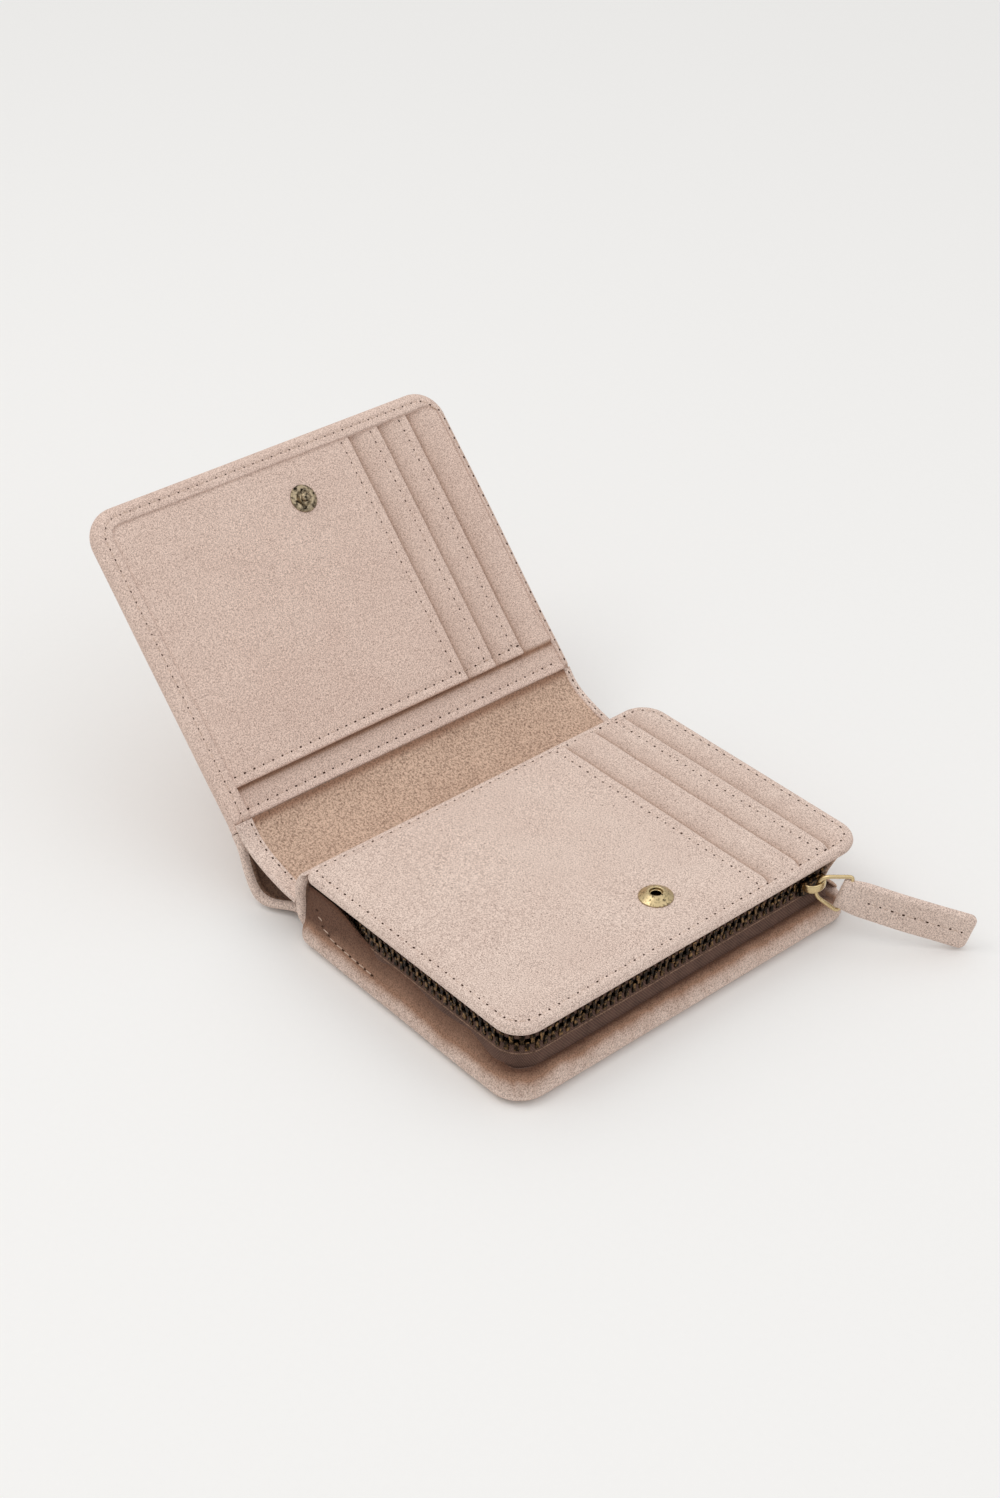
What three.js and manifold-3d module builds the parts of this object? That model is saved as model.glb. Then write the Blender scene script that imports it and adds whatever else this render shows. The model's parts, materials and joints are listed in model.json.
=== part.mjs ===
// A suede bifold wallet with a zip-round coin pouch, lying open on a table.
// Millimetres, +Z up. The origin is on the underside of the pouch, below the middle of its lid.
// +X runs from the spine to the pouch's free edge, and +Y along the spine.
// The pouch lies flat, the spine climbs away from it to -X, and the front page leans back beyond that.

import * as THREE from 'three';
import { mergeVertices } from 'three/addons/utils/BufferGeometryUtils.js';
import Module from 'manifold-3d';

const wasm = await Module();
wasm.setup();

// ---- Driving dimensions ----

const lidDepth = 93; // along X
const lidWidth = 134; // along Y
const lidThick = 4.8;
const lidCorner = 9;
const trayWall = 1.4; // the lid's suede is turned up round its edge
const trayFloor = 1;
const lidLayer = 0.8; // one layer of card pocket on the lid
const pouchHeight = 26; // table to the top of the lid

const coverNarrow = 2.5; // the outer cover is cut this much narrower than the lid
const coverShift = -3.8; // and lies a little to one side of it
const coverReach = 2.8; // how far the cover stands out past the lid's free edge
const coverCorner = 10;
const suede = 1.4; // thickness of the outer suede
const hemThick = 1.2;
const coverStack = 5; // back cover, from the table to the top of its turned hem
const hemWidth = 6;
const hemWidthSide = 3.2; // narrower, on the side where the cards go in

const gap = 0.3; // between pieces that touch
const boardThick = 0.5; // stiffening board
const liningThick = 0.6;
const layerThick = 0.5; // one layer of card pocket on the page
const bottomThick = 1.8; // suede bottom of the pouch
const bottomInset = 1;
const liningInset = 1;
const gussetThick = 0.8;
const gussetInset = 4; // from the cover's edge
const endWallThick = 1.2;

const chainInset = 2.3; // from the lid's edge to the middle of the zip
const railWide = 1.8; // teeth, across the tape
const railTall = 1.6; // one row of teeth
const railGap = 1.1; // between the two rows, for the slider's web
const tapeThick = 0.7;
const flangeWide = 4; // the tape's sewn edge
const chainCorner = 8;
const zipStartInset = 6; // from the lid's spine side to the start of the zip
const zipEndInset = 15; // from the lid's side to the end of the zip
const stopLong = 2; // the small clamps that end the zip

const sliderInset = 7; // from the end of the zip to the middle of the slider, closed
const sliderLong = 9;
const plateThick = 1;
const plateClear = 0.4;
const bridgeLong = 7.6;
const bridgeRise = 3.6;
const bridgeThick = 0.8;
const bridgeWide = 2.6;
const webLong = 3.5; // the slider's web, between the two rows of teeth
const webInset = 0.6;

const wireRadius = 0.6;
const pivotOut = 1.5; // from the slider's face to the wire in the bridge
const pivotUp = 0.9; // and up from the middle of the teeth
const ringLong = 8.6;
const ringNear = 6.4; // height of the loop at the slider
const ringRound = 1.6;
const ringEar = 2.2; // how far the loop stands out past each side of the tab
const pullTurn = 42; // degrees from +X towards +Y
const pullDroop = 16; // degrees below level
const tabLong = 38;
const tabWide = 12;
const tabThick = 2.6;
const tabCorner = 2.2;

const socketInset = 17.9; // from the lid's free edge
const snapY = 0;
const socketRadius = 5;
const socketTall = 1.4;
const studRadius = 4.4;
const ballRadius = 1.45;
const snapClear = 0.45;
const capRadius = 4.3;
const capThick = 0.4;
const shankRadius = 1.2;

const foldOut = 5.7; // from the lid's spine side to the fold between back cover and spine
const spineSlack = 0.1; // how much longer the spine is than the closed wallet is tall
const spineRise = 42.3; // degrees above level, as it lies
const pageRise = 47; // degrees above level, as it lies
const pageExtra = 9.2; // the page, from its fold to its free edge, is this much longer than the lid
const pageThick = 6.2;
const snapStack = 3.1; // closed, from the lid's top to the page's inner face

const lidStepInsets = [37.6, 25.4, 13.2]; // open edges of the lid's card pockets, from its side
const pageStepInsets = [37.4, 25.9, 14.4]; // and the page's, from the cover's side
const cardsFrom = 12; // from the page's fold to the card pockets
const slipFrom = 2.2; // and to the slip pocket behind them

// ---- Materials ----

function finish(colour, roughness, metalness) {
  return new THREE.MeshStandardMaterial({ color: colour, roughness, metalness });
}

const suedeFinish = () => finish(0xd9c4b6, 0.95, 0);
const linerFinish = () => finish(0xc2a48f, 0.95, 0);
const liningFinish = () => finish(0xb59c8a, 0.9, 0);
const boardFinish = () => finish(0xcfc8bc, 0.9, 0);
const tapeFinish = () => finish(0x4d3a33, 0.9, 0);
const darkBrassFinish = () => finish(0x7c6238, 0.45, 1);
const brassFinish = () => finish(0xcbb073, 0.3, 1);

// ---- Building blocks ----

// A geometry as a solid that can be joined and cut.
function toSolid(geometry) {
  const plain = geometry.clone();
  plain.deleteAttribute('normal');
  plain.deleteAttribute('uv');
  const merged = mergeVertices(plain, 1e-4);
  return new wasm.Manifold(new wasm.Mesh({
    numProp: 3,
    vertProperties: new Float32Array(merged.attributes.position.array),
    triVerts: new Uint32Array(merged.index.array),
  }));
}

function toGeometry(solid) {
  const mesh = solid.getMesh();
  const geometry = new THREE.BufferGeometry();
  geometry.setAttribute('position', new THREE.BufferAttribute(new Float32Array(mesh.vertProperties), 3));
  geometry.setIndex(new THREE.BufferAttribute(new Uint32Array(mesh.triVerts), 1));
  geometry.computeVertexNormals();
  return geometry;
}

// A rectangle in X and Y. Its corner radii go round from the low corner: low-low, high-low, high-high, low-high.
function roundedRect(x0, x1, y0, y1, [a, b, c, d]) {
  const shape = new THREE.Shape();
  const quarter = Math.PI / 2;
  shape.moveTo(x0 + a, y0);
  shape.lineTo(x1 - b, y0);
  if (b > 0) shape.absarc(x1 - b, y0 + b, b, -quarter, 0);
  shape.lineTo(x1, y1 - c);
  if (c > 0) shape.absarc(x1 - c, y1 - c, c, 0, quarter);
  shape.lineTo(x0 + d, y1);
  if (d > 0) shape.absarc(x0 + d, y1 - d, d, quarter, 2 * quarter);
  shape.lineTo(x0, y0 + a);
  if (a > 0) shape.absarc(x0 + a, y0 + a, a, 2 * quarter, 3 * quarter);
  return shape;
}

// A shape in X and Y, made solid between two heights.
function slab(shape, low, high, curveSegments = 5) {
  const geometry = new THREE.ExtrudeGeometry(shape, { depth: high - low, bevelEnabled: false, curveSegments });
  geometry.translate(0, 0, low);
  return geometry;
}

// A shape in X and Z, made solid between two places along Y.
function wallAlongY(shape, low, high, curveSegments = 8) {
  const geometry = new THREE.ExtrudeGeometry(shape, { depth: high - low, bevelEnabled: false, curveSegments });
  geometry.rotateX(Math.PI / 2);
  geometry.translate(0, high, 0);
  return geometry;
}

// A closed profile of [radius, height] points, turned about Z.
function turned(profile, segments = 24) {
  const points = profile.map(([r, z]) => new THREE.Vector2(r, z));
  const geometry = new THREE.LatheGeometry(points, segments);
  geometry.rotateX(Math.PI / 2);
  return geometry;
}

function cylinder(radius, low, high, x, y, segments = 24) {
  const geometry = new THREE.CylinderGeometry(radius, radius, high - low, segments);
  geometry.rotateX(Math.PI / 2);
  geometry.translate(x, y, (low + high) / 2);
  return geometry;
}

function piece(group, name, geometry, material) {
  const mesh = new THREE.Mesh(geometry, material);
  mesh.name = name;
  group.add(mesh);
  return mesh;
}

const degrees = THREE.MathUtils.degToRad;

// ---- Places worked out from the dimensions ----

const lidX0 = -lidDepth / 2;
const lidX1 = lidDepth / 2;
const lidY0 = -lidWidth / 2;
const lidY1 = lidWidth / 2;
const lidBottom = pouchHeight - lidThick;
const lidSteps = lidStepInsets.map((inset) => lidY1 - inset);

const coverX1 = lidX1 + coverReach;
const coverWidth = lidWidth - coverNarrow;
const coverY0 = coverShift - coverWidth / 2;
const coverY1 = coverShift + coverWidth / 2;
const pageSteps = pageStepInsets.map((inset) => coverY1 - inset);
const pageLong = lidDepth + pageExtra;

// The fold line is at the middle of the outer suede, so the cover turns about itself.
const foldX = lidX0 - foldOut;
const foldZ = suede / 2;
const foldSweep = 1; // how far the spine's end reaches as it turns
const coverX0 = foldX + foldSweep + gap;

// Closed, the spine stands up until the page lies over the snap, and the stud meets the socket.
const socketX = lidX1 - socketInset;
const closedPageZ = pouchHeight + snapStack + pageThick / 2;
const spineLong = closedPageZ - foldZ + spineSlack;
const pageFoldX = foldX - spineLong * Math.cos(degrees(spineRise));
const pageFoldZ = foldZ + spineLong * Math.sin(degrees(spineRise));
const closedSpineAngle = Math.asin((closedPageZ - foldZ) / spineLong);
const closedFoldX = foldX - spineLong * Math.cos(closedSpineAngle);
const studFromFold = socketX - closedFoldX;

// Levels inside the pouch, from the table up.
const bottomLow = coverStack + gap;
const bottomHigh = bottomLow + bottomThick;
const floorLow = bottomHigh + gap;
const floorHigh = floorLow + liningThick;
const ceilingHigh = lidBottom - gap;
const ceilingLow = ceilingHigh - liningThick;
const upperRailHigh = ceilingLow - gap;
const upperRailLow = upperRailHigh - railTall;
const lowerRailHigh = upperRailLow - railGap;
const lowerRailLow = lowerRailHigh - railTall;
const lowerTapeHigh = lowerRailLow - gap;
const chainMid = (upperRailLow + lowerRailHigh) / 2;

const chainX = lidX1 - chainInset;
const chainY = lidY0 + chainInset;
const chainStartX = lidX0 + zipStartInset;
const zipEndY = lidY1 - zipEndInset;
const sliderY = zipEndY - sliderInset;

const wallX0 = lidX0 + gap;
const square = [0, 0, 0, 0];

// ---- Back cover and the bottom of the pouch ----

function backCover(base) {
  const free = [0, coverCorner, coverCorner, 0];
  const outside = toSolid(slab(roundedRect(coverX0, coverX1, coverY0, coverY1, free), 0, coverStack));
  const inner = coverCorner - suede;
  const hollow = toSolid(slab(
    roundedRect(coverX0 - 1, coverX1 - suede, coverY0 + suede, coverY1 - suede, [0, inner, inner, 0]),
    suede, coverStack - hemThick));
  const window = toSolid(slab(
    roundedRect(coverX0 - 1, coverX1 - hemWidth, coverY0 + hemWidth, coverY1 - hemWidth, [0, 4, 4, 0]),
    suede, coverStack + 1));
  piece(base, 'back_cover', toGeometry(outside.subtract(hollow).subtract(window)), suedeFinish());

  const inset = suede + gap;
  const board = roundedRect(
    coverX0, coverX1 - inset, coverY0 + inset, coverY1 - inset,
    [0, coverCorner - inset, coverCorner - inset, 0]);
  piece(base, 'back_stiffener', slab(board, suede + gap, suede + gap + boardThick), boardFinish());
}

function pouchBottom(base) {
  const corner = coverCorner - bottomInset;
  const shape = roundedRect(
    lidX0, coverX1 - bottomInset, coverY0 + bottomInset, coverY1 - bottomInset,
    [0, corner, corner, 0]);
  piece(base, 'pouch_bottom', slab(shape, bottomLow, bottomHigh), suedeFinish());

  const inset = tapeThick / 2 + flangeWide + gap;
  const lining = roundedRect(
    lidX0 + liningInset, chainX - inset, chainY + inset, coverY1 - bottomInset - liningInset,
    [0, chainCorner - inset, 0, 0]);
  piece(base, 'pouch_floor_lining', slab(lining, floorLow, floorHigh), liningFinish());
}

// ---- Zip ----

// A strip that follows the zip: along the side of the pouch, round its free corner and along its free edge.
// out and inward are the strip's two edges, measured outwards from the middle of the teeth.
function zipStrip(out, inward, startX, endY, low, high) {
  const cx = chainX - chainCorner;
  const cy = chainY + chainCorner;
  const quarter = Math.PI / 2;
  const shape = new THREE.Shape();
  shape.moveTo(startX, chainY - out);
  shape.lineTo(cx, chainY - out);
  shape.absarc(cx, cy, chainCorner + out, -quarter, 0);
  shape.lineTo(chainX + out, endY);
  shape.lineTo(chainX + inward, endY);
  shape.lineTo(chainX + inward, cy);
  shape.absarc(cx, cy, chainCorner + inward, 0, -quarter, true);
  shape.lineTo(startX, chainY - inward);
  return slab(shape, low, high, 6);
}

function zipLower(base) {
  const half = tapeThick / 2;
  const stand = toSolid(zipStrip(half, -half, chainStartX, zipEndY, floorLow, lowerTapeHigh));
  const foot = toSolid(zipStrip(half, -half - flangeWide, chainStartX, zipEndY, floorLow, floorHigh));
  piece(base, 'lower_zip_tape', toGeometry(stand.add(foot)), tapeFinish());

  const teeth = zipStrip(
    railWide / 2, -railWide / 2, chainStartX + stopLong + gap, zipEndY - stopLong - gap,
    lowerRailLow, lowerRailHigh);
  piece(base, 'lower_zip_teeth', teeth, darkBrassFinish());
}

function zipStop(group, name, x, y, low, high) {
  const geometry = new THREE.BoxGeometry(railWide, stopLong, high - low);
  geometry.translate(x, y, (low + high) / 2);
  piece(group, name, geometry, darkBrassFinish());
}

function zipUpper(lid) {
  const half = tapeThick / 2;
  const flange = zipStrip(half, -half - flangeWide, chainStartX, zipEndY, ceilingLow, ceilingHigh);
  piece(lid, 'upper_zip_tape', flange, tapeFinish());

  const teeth = zipStrip(
    railWide / 2, -railWide / 2, chainStartX + stopLong + gap, zipEndY - stopLong - gap,
    upperRailLow, upperRailHigh);
  piece(lid, 'upper_zip_teeth', teeth, darkBrassFinish());
}

function zipStops(base, lid) {
  const endY = zipEndY - stopLong / 2;
  zipStop(base, 'zip_top_stop_lower', chainX, endY, lowerRailLow, lowerRailHigh);
  zipStop(lid, 'zip_top_stop_upper', chainX, endY, upperRailLow, upperRailHigh);
  const bottomStop = new THREE.BoxGeometry(stopLong, railWide, railTall);
  bottomStop.translate(chainStartX + stopLong / 2, chainY, (lowerRailLow + lowerRailHigh) / 2);
  piece(base, 'zip_bottom_stop', bottomStop, darkBrassFinish());
}

// ---- Slider, wire ring and pull tab ----

const plateInner = chainX - railWide / 2 - plateClear;
const plateOuter = chainX + railWide / 2 + plateClear;
const plateLow = lowerRailLow - 1;

// A slider's plate: square at the trailing end and bowed out at the leading one.
function plate(x, high) {
  const y0 = sliderY - sliderLong / 2;
  const y1 = sliderY + sliderLong / 2;
  const shape = new THREE.Shape();
  shape.moveTo(y0, plateLow + 0.8);
  shape.lineTo(y1 - 3, plateLow);
  shape.quadraticCurveTo(y1, plateLow, y1, chainMid);
  shape.quadraticCurveTo(y1, high, y1 - 3, high);
  shape.lineTo(y0, high - 0.4);
  const geometry = new THREE.ExtrudeGeometry(shape, { depth: plateThick, bevelEnabled: false, curveSegments: 5 });
  const turn = new THREE.Matrix4().makeBasis(
    new THREE.Vector3(0, 1, 0), new THREE.Vector3(0, 0, 1), new THREE.Vector3(1, 0, 0));
  geometry.applyMatrix4(turn);
  geometry.translate(x, 0, 0);
  return toSolid(geometry);
}

function slider(group) {
  const webThick = railGap - 2 * gap;
  const reach = plateThick / 2; // the web goes this far into each plate
  const web = new THREE.BoxGeometry(plateOuter - plateInner + 2 * reach, webLong, webThick);
  web.translate(chainX, sliderY + sliderLong / 2 - webLong / 2 - webInset, chainMid);
  const body = plate(plateOuter, upperRailHigh).add(plate(plateInner - plateThick, upperRailHigh))
    .add(toSolid(web));
  piece(group, 'slider_body', toGeometry(body), darkBrassFinish());

  const x0 = plateOuter + plateThick + gap;
  const arch = new THREE.Shape();
  const half = bridgeLong / 2;
  arch.moveTo(-half, 0);
  arch.bezierCurveTo(-half, bridgeRise * 1.3, half, bridgeRise * 1.3, half, 0);
  arch.lineTo(half - bridgeThick, 0);
  const under = bridgeRise - bridgeThick;
  arch.bezierCurveTo(
    half - bridgeThick, under * 1.3, -half + bridgeThick, under * 1.3, -half + bridgeThick, 0);
  const bridge = new THREE.ExtrudeGeometry(arch, { depth: bridgeWide, bevelEnabled: false, curveSegments: 8 });
  const turn = new THREE.Matrix4().makeBasis(
    new THREE.Vector3(0, -1, 0), new THREE.Vector3(1, 0, 0), new THREE.Vector3(0, 0, 1));
  bridge.applyMatrix4(turn);
  bridge.translate(x0, sliderY, pivotZ - bridgeWide / 2);
  piece(group, 'slider_bridge', bridge, brassFinish());
}

// The ring turns in the eye of the bridge.
const pivotX = plateOuter + plateThick + gap + pivotOut;
const pivotZ = chainMid + pivotUp;

// A closed loop of round wire that lies in the XZ plane.
function wireLoop(curve, radius, steps, sides) {
  const positions = [];
  const index = [];
  for (let i = 0; i < steps; i++) {
    const at = curve.getPointAt(i / steps);
    const along = curve.getTangentAt(i / steps);
    const out = new THREE.Vector3(0, 1, 0).cross(along).normalize();
    for (let j = 0; j < sides; j++) {
      const turn = 2 * Math.PI * j / sides;
      positions.push(
        at.x + radius * Math.cos(turn) * out.x,
        at.y + radius * Math.sin(turn),
        at.z + radius * Math.cos(turn) * out.z);
      const a = i * sides + j;
      const b = i * sides + (j + 1) % sides;
      const c = ((i + 1) % steps) * sides + j;
      const d = ((i + 1) % steps) * sides + (j + 1) % sides;
      index.push(a, b, c, b, d, c);
    }
  }
  const geometry = new THREE.BufferGeometry();
  geometry.setAttribute('position', new THREE.Float32BufferAttribute(positions, 3));
  geometry.setIndex(index);
  geometry.computeVertexNormals();
  return geometry;
}

// A closed outline through the corners, each one rounded off.
function roundedLoop(corners, round) {
  const path = new THREE.CurvePath();
  const count = corners.length;
  const towards = (from, to) => to.clone().sub(from).setLength(round).add(from);
  for (let i = 0; i < count; i++) {
    const before = corners[(i + count - 1) % count];
    const at = corners[i];
    const after = corners[(i + 1) % count];
    path.add(new THREE.QuadraticBezierCurve3(towards(at, before), at, towards(at, after)));
    path.add(new THREE.LineCurve3(towards(at, after), towards(after, at)));
  }
  return path;
}

function pullRing(pull) {
  const near = ringNear / 2;
  const far = tabWide / 2 + ringEar;
  const loop = roundedLoop([
    new THREE.Vector3(0, 0, -near),
    new THREE.Vector3(0, 0, near),
    new THREE.Vector3(ringLong, 0, far),
    new THREE.Vector3(ringLong, 0, -far),
  ], ringRound);
  piece(pull, 'pull_ring', wireLoop(loop, wireRadius, 48, 8), brassFinish());
}

// One strip of suede, folded round the far side of the ring and sewn to itself.
function pullTab(pull) {
  const eye = wireRadius + gap;
  const loopRadius = eye + suede * 0.8;
  const half = tabThick / 2;
  const side = new THREE.Shape();
  const meet = Math.acos(half / loopRadius);
  side.moveTo(tabLong, -half);
  side.lineTo(tabLong, half);
  side.absarc(0, 0, loopRadius, Math.PI / 2 - meet, 1.5 * Math.PI + meet);
  const hole = new THREE.Path();
  hole.absarc(0, 0, eye, 0, 2 * Math.PI, true);
  side.holes.push(hole);
  const strip = new THREE.ExtrudeGeometry(side, { depth: tabWide, bevelEnabled: false, curveSegments: 12 });
  strip.translate(0, 0, -tabWide / 2);
  const face = new THREE.ExtrudeGeometry(
    roundedRect(-loopRadius - 1, tabLong, -tabWide / 2, tabWide / 2, [0, tabCorner, tabCorner, 0]),
    { depth: 4 * loopRadius, bevelEnabled: false, curveSegments: 4 });
  face.translate(0, 0, -2 * loopRadius);
  face.rotateX(Math.PI / 2);
  const tab = toGeometry(toSolid(strip).intersect(toSolid(face)));
  tab.translate(ringLong, 0, 0);
  piece(pull, 'pull_tab', tab, suedeFinish());
}

// ---- Pouch lid ----

// A panel with a hole for the snap's shank, and a recess below for its cap.
function setForSnap(geometry, x, low, high) {
  const recess = toSolid(cylinder(capRadius + gap, low - 1, low + capDeep, x, snapY));
  const hole = toSolid(cylinder(shankRadius + gap, low - 1, high + 1, x, snapY, 12));
  return toGeometry(toSolid(geometry).subtract(recess).subtract(hole));
}

const capDeep = capThick + gap;
const panelThick = lidThick - trayFloor - 2 * lidLayer - 3 * gap;
const panelLow = pouchHeight - panelThick;

function lidPanels(lid) {
  const round = [lidCorner, lidCorner, lidCorner, lidCorner];
  const outside = toSolid(slab(roundedRect(lidX0, lidX1, lidY0, lidY1, round), lidBottom, pouchHeight));
  const r = lidCorner - trayWall;
  const hollow = toSolid(slab(
    roundedRect(lidX0 + trayWall, lidX1 - trayWall, lidY0 + trayWall, lidY1 - trayWall, [r, r, r, r]),
    lidBottom + trayFloor, pouchHeight + 1));
  piece(lid, 'lid_shell', toGeometry(outside.subtract(hollow)), suedeFinish());

  // Card pockets, each one shorter than the one below it.
  const inset = trayWall + gap;
  const s = lidCorner - inset;
  const panel = (edge) => roundedRect(lidX0 + inset, lidX1 - inset, lidY0 + inset, edge, [s, s, 0, 0]);
  const lowest = lidBottom + trayFloor + gap;
  const next = lowest + lidLayer + gap;
  piece(lid, 'lid_pocket_3', slab(panel(lidSteps[2]), lowest, lowest + lidLayer), suedeFinish());
  piece(lid, 'lid_pocket_2', slab(panel(lidSteps[1]), next, next + lidLayer), suedeFinish());
  const front = slab(panel(lidSteps[0]), panelLow, pouchHeight);
  piece(lid, 'lid_front_panel', setForSnap(front, socketX, panelLow, pouchHeight), suedeFinish());
}

function lidLining(lid) {
  const inset = tapeThick / 2 + flangeWide + gap;
  const shape = roundedRect(
    lidX0 + trayWall + liningInset, chainX - inset, chainY + inset, lidY1 - lidCorner,
    [0, chainCorner - inset, 0, 0]);
  piece(lid, 'lid_lining', slab(shape, ceilingLow, ceilingHigh), liningFinish());
}

// The lid's suede turns down at the spine side and closes the back of the pouch.
function endWall(lid) {
  const shape = roundedRect(wallX0, wallX0 + endWallThick, lidY0 + bottomInset, coverY1 - bottomInset, square);
  piece(lid, 'pouch_end_wall', slab(shape, floorHigh + gap, ceilingLow - gap), suedeFinish());
}

// A soft wall closes the side that has no zip.
function gusset(base) {
  const y = coverY1 - gussetInset;
  const x0 = wallX0 + endWallThick + liningInset;
  const x1 = chainX - tapeThick / 2 - flangeWide - 2 * gap;
  const shape = roundedRect(x0, x1, y - gussetThick, y, square);
  piece(base, 'pouch_gusset', slab(shape, floorHigh + gap, ceilingLow - gap), liningFinish());
}

// ---- Snap ----

// A snap's back half: a flat cap with a shank that goes up through the panel.
function cap(group, name, x, y, low, shankTop) {
  const profile = [
    [0, low], [capRadius, low], [capRadius, low + capThick], [shankRadius, low + capThick],
    [shankRadius, shankTop], [0, shankTop],
  ];
  const geometry = turned(profile);
  geometry.translate(x, y, 0);
  piece(group, name, geometry, brassFinish());
}

const mouthRadius = ballRadius + snapClear;
const springWire = 0.22;
const springRadius = ballRadius + gap + springWire;
const socketBore = springRadius + springWire + gap;

function socket(lid) {
  const z0 = pouchHeight + gap;
  const z1 = z0 + socketTall;
  const profile = [
    [socketBore, z0], [socketRadius, z0], [socketRadius, z0 + 0.35], [socketRadius * 0.86, z0 + 0.9],
    [socketRadius * 0.6, z1 - 0.1], [mouthRadius + 0.5, z1], [mouthRadius, z1 - 0.2],
    [mouthRadius, z1 - 0.45], [socketBore, z1 - 0.45], [socketBore, z0],
  ];
  const geometry = turned(profile, 32);
  geometry.translate(socketX, snapY, 0);
  piece(lid, 'snap_socket', geometry, brassFinish());

  const spring = new THREE.TorusGeometry(springRadius, springWire, 6, 20);
  spring.translate(socketX, snapY, z0 + springWire + 0.1);
  piece(lid, 'socket_spring', spring, brassFinish());
  cap(lid, 'socket_cap', socketX, snapY, panelLow, pouchHeight + gap / 2);
}

// In the page's own frame, where the page lies flat and its middle is at height 0.
function stud(page) {
  const z0 = pageThick / 2 + gap;
  const tip = z0 + 2.3;
  const neck = 1;
  const profile = [
    [0, z0], [studRadius, z0], [studRadius, z0 + 0.4], [studRadius * 0.72, z0 + 0.8],
    [studRadius * 0.5, z0 + 0.6], [neck, z0 + 0.6], [neck, z0 + 1.1], [ballRadius, z0 + 1.6],
    [ballRadius * 0.8, tip - 0.15], [0, tip],
  ];
  const geometry = turned(profile, 28);
  geometry.translate(-studFromFold, snapY, 0);
  piece(page, 'snap_stud', geometry, darkBrassFinish());
}

// ---- Spine ----

// A strip of even thickness above a curve in X and Z.
function ribbon(curve, thick, count) {
  const low = [];
  const high = [];
  for (let i = 0; i <= count; i++) {
    const at = curve.getPointAt(i / count);
    const along = curve.getTangentAt(i / count);
    low.push(at);
    high.push(new THREE.Vector2(at.x + along.y * thick, at.y - along.x * thick));
  }
  return new THREE.Shape([...low, ...high.reverse()]);
}

// The outer cover sags to the table between the pouch and the page, and so leaves room for banknotes.
function spineCover(spine) {
  const start = foldX - 0.6;
  const run = spineLong * 0.3;
  const endX = pageFoldX + 0.6;
  const endZ = pageFoldZ - 4.6;
  const path = new THREE.CurvePath();
  path.add(new THREE.LineCurve(new THREE.Vector2(start, 0), new THREE.Vector2(start - run, 0)));
  path.add(new THREE.CubicBezierCurve(
    new THREE.Vector2(start - run, 0), new THREE.Vector2(endX + 4, 0),
    new THREE.Vector2(endX + 0.6, endZ * 0.3), new THREE.Vector2(endX, endZ)));
  piece(spine, 'spine_cover', wallAlongY(ribbon(path, suede, 14), coverY0, coverY1), suedeFinish());
}

function spineLiner(spine) {
  const thick = 1;
  const start = new THREE.Vector2(foldX - 7.8, foldZ + 14.2);
  const end = new THREE.Vector2(pageFoldX + 3.7, pageFoldZ - 3);
  const line = new THREE.LineCurve(start, end);
  const inset = 1;
  piece(spine, 'spine_liner', wallAlongY(ribbon(line, thick, 1), coverY0 + inset, coverY1 - inset), linerFinish());
}

// ---- Front page ----

// The page is laid out flat: its fold is at x = 0, its free edge at x = -pageLong and its middle at height 0.
function frontPage(page) {
  const half = pageThick / 2;
  const x0 = -pageLong;
  const end = -gap;
  const free = [coverCorner, 0, 0, coverCorner];
  const r = coverCorner - suede;
  const hemLow = half - layerThick - 0.2;
  const outside = toSolid(slab(roundedRect(x0, end, coverY0, coverY1, free), -half, half));
  const hollow = toSolid(slab(
    roundedRect(x0 + suede, 1, coverY0 + suede, coverY1 - suede, [r, 0, 0, r]),
    -half + suede, hemLow));
  const window = toSolid(slab(
    roundedRect(x0 + hemWidth, 1, coverY0 + hemWidth, coverY1 - hemWidthSide, [4, 0, 0, 4]),
    0, half + 1));
  piece(page, 'front_cover', toGeometry(outside.subtract(hollow).subtract(window)), suedeFinish());

  // Layers from the cover inwards, each one a layer and a gap above the last.
  const inset = suede + gap;
  const s = coverCorner - inset;
  const step = layerThick + gap;
  const level = (n) => -half + suede + gap + n * step;
  const layer = (name, n, toX, toY, material) => {
    const corner = toY > coverY1 - inset - 1 ? s : 0;
    const shape = roundedRect(x0 + inset, toX, coverY0 + inset, toY, [s, 0, 0, corner]);
    piece(page, name, slab(shape, level(n), level(n) + layerThick), material);
  };
  const fullY = coverY1 - inset;
  layer('front_stiffener', 0, -1, fullY, boardFinish());
  layer('front_slip_pocket', 1, -slipFrom, fullY, suedeFinish());
  layer('front_pocket_3', 2, -cardsFrom, pageSteps[2], suedeFinish());
  layer('front_pocket_2', 3, -cardsFrom, pageSteps[1], suedeFinish());

  const edge = hemWidth + gap;
  const panelShape = roundedRect(x0 + edge, -cardsFrom, coverY0 + edge, pageSteps[0], [3.5, 0, 0, 0]);
  const low = level(4);
  const panel = setForSnap(slab(panelShape, low, half), -studFromFold, low, half);
  piece(page, 'front_card_panel', panel, suedeFinish());
  cap(page, 'stud_cap', -studFromFold, snapY, low, half + gap / 2);
}

// ---- Assembly ----

const wallet = new THREE.Group();

const base = new THREE.Group();
backCover(base);
pouchBottom(base);
gusset(base);
zipLower(base);
wallet.add(base);

const lid = new THREE.Group();
lidPanels(lid);
lidLining(lid);
endWall(lid);
zipUpper(lid);
zipStops(base, lid);
socket(lid);
slider(lid);
wallet.add(lid);

const pull = new THREE.Group();
pullRing(pull);
pullTab(pull);
pull.position.set(pivotX, sliderY, pivotZ);
pull.rotation.order = 'ZYX';
pull.rotation.z = degrees(pullTurn);
pull.rotation.y = degrees(pullDroop);
wallet.add(pull);

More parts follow.
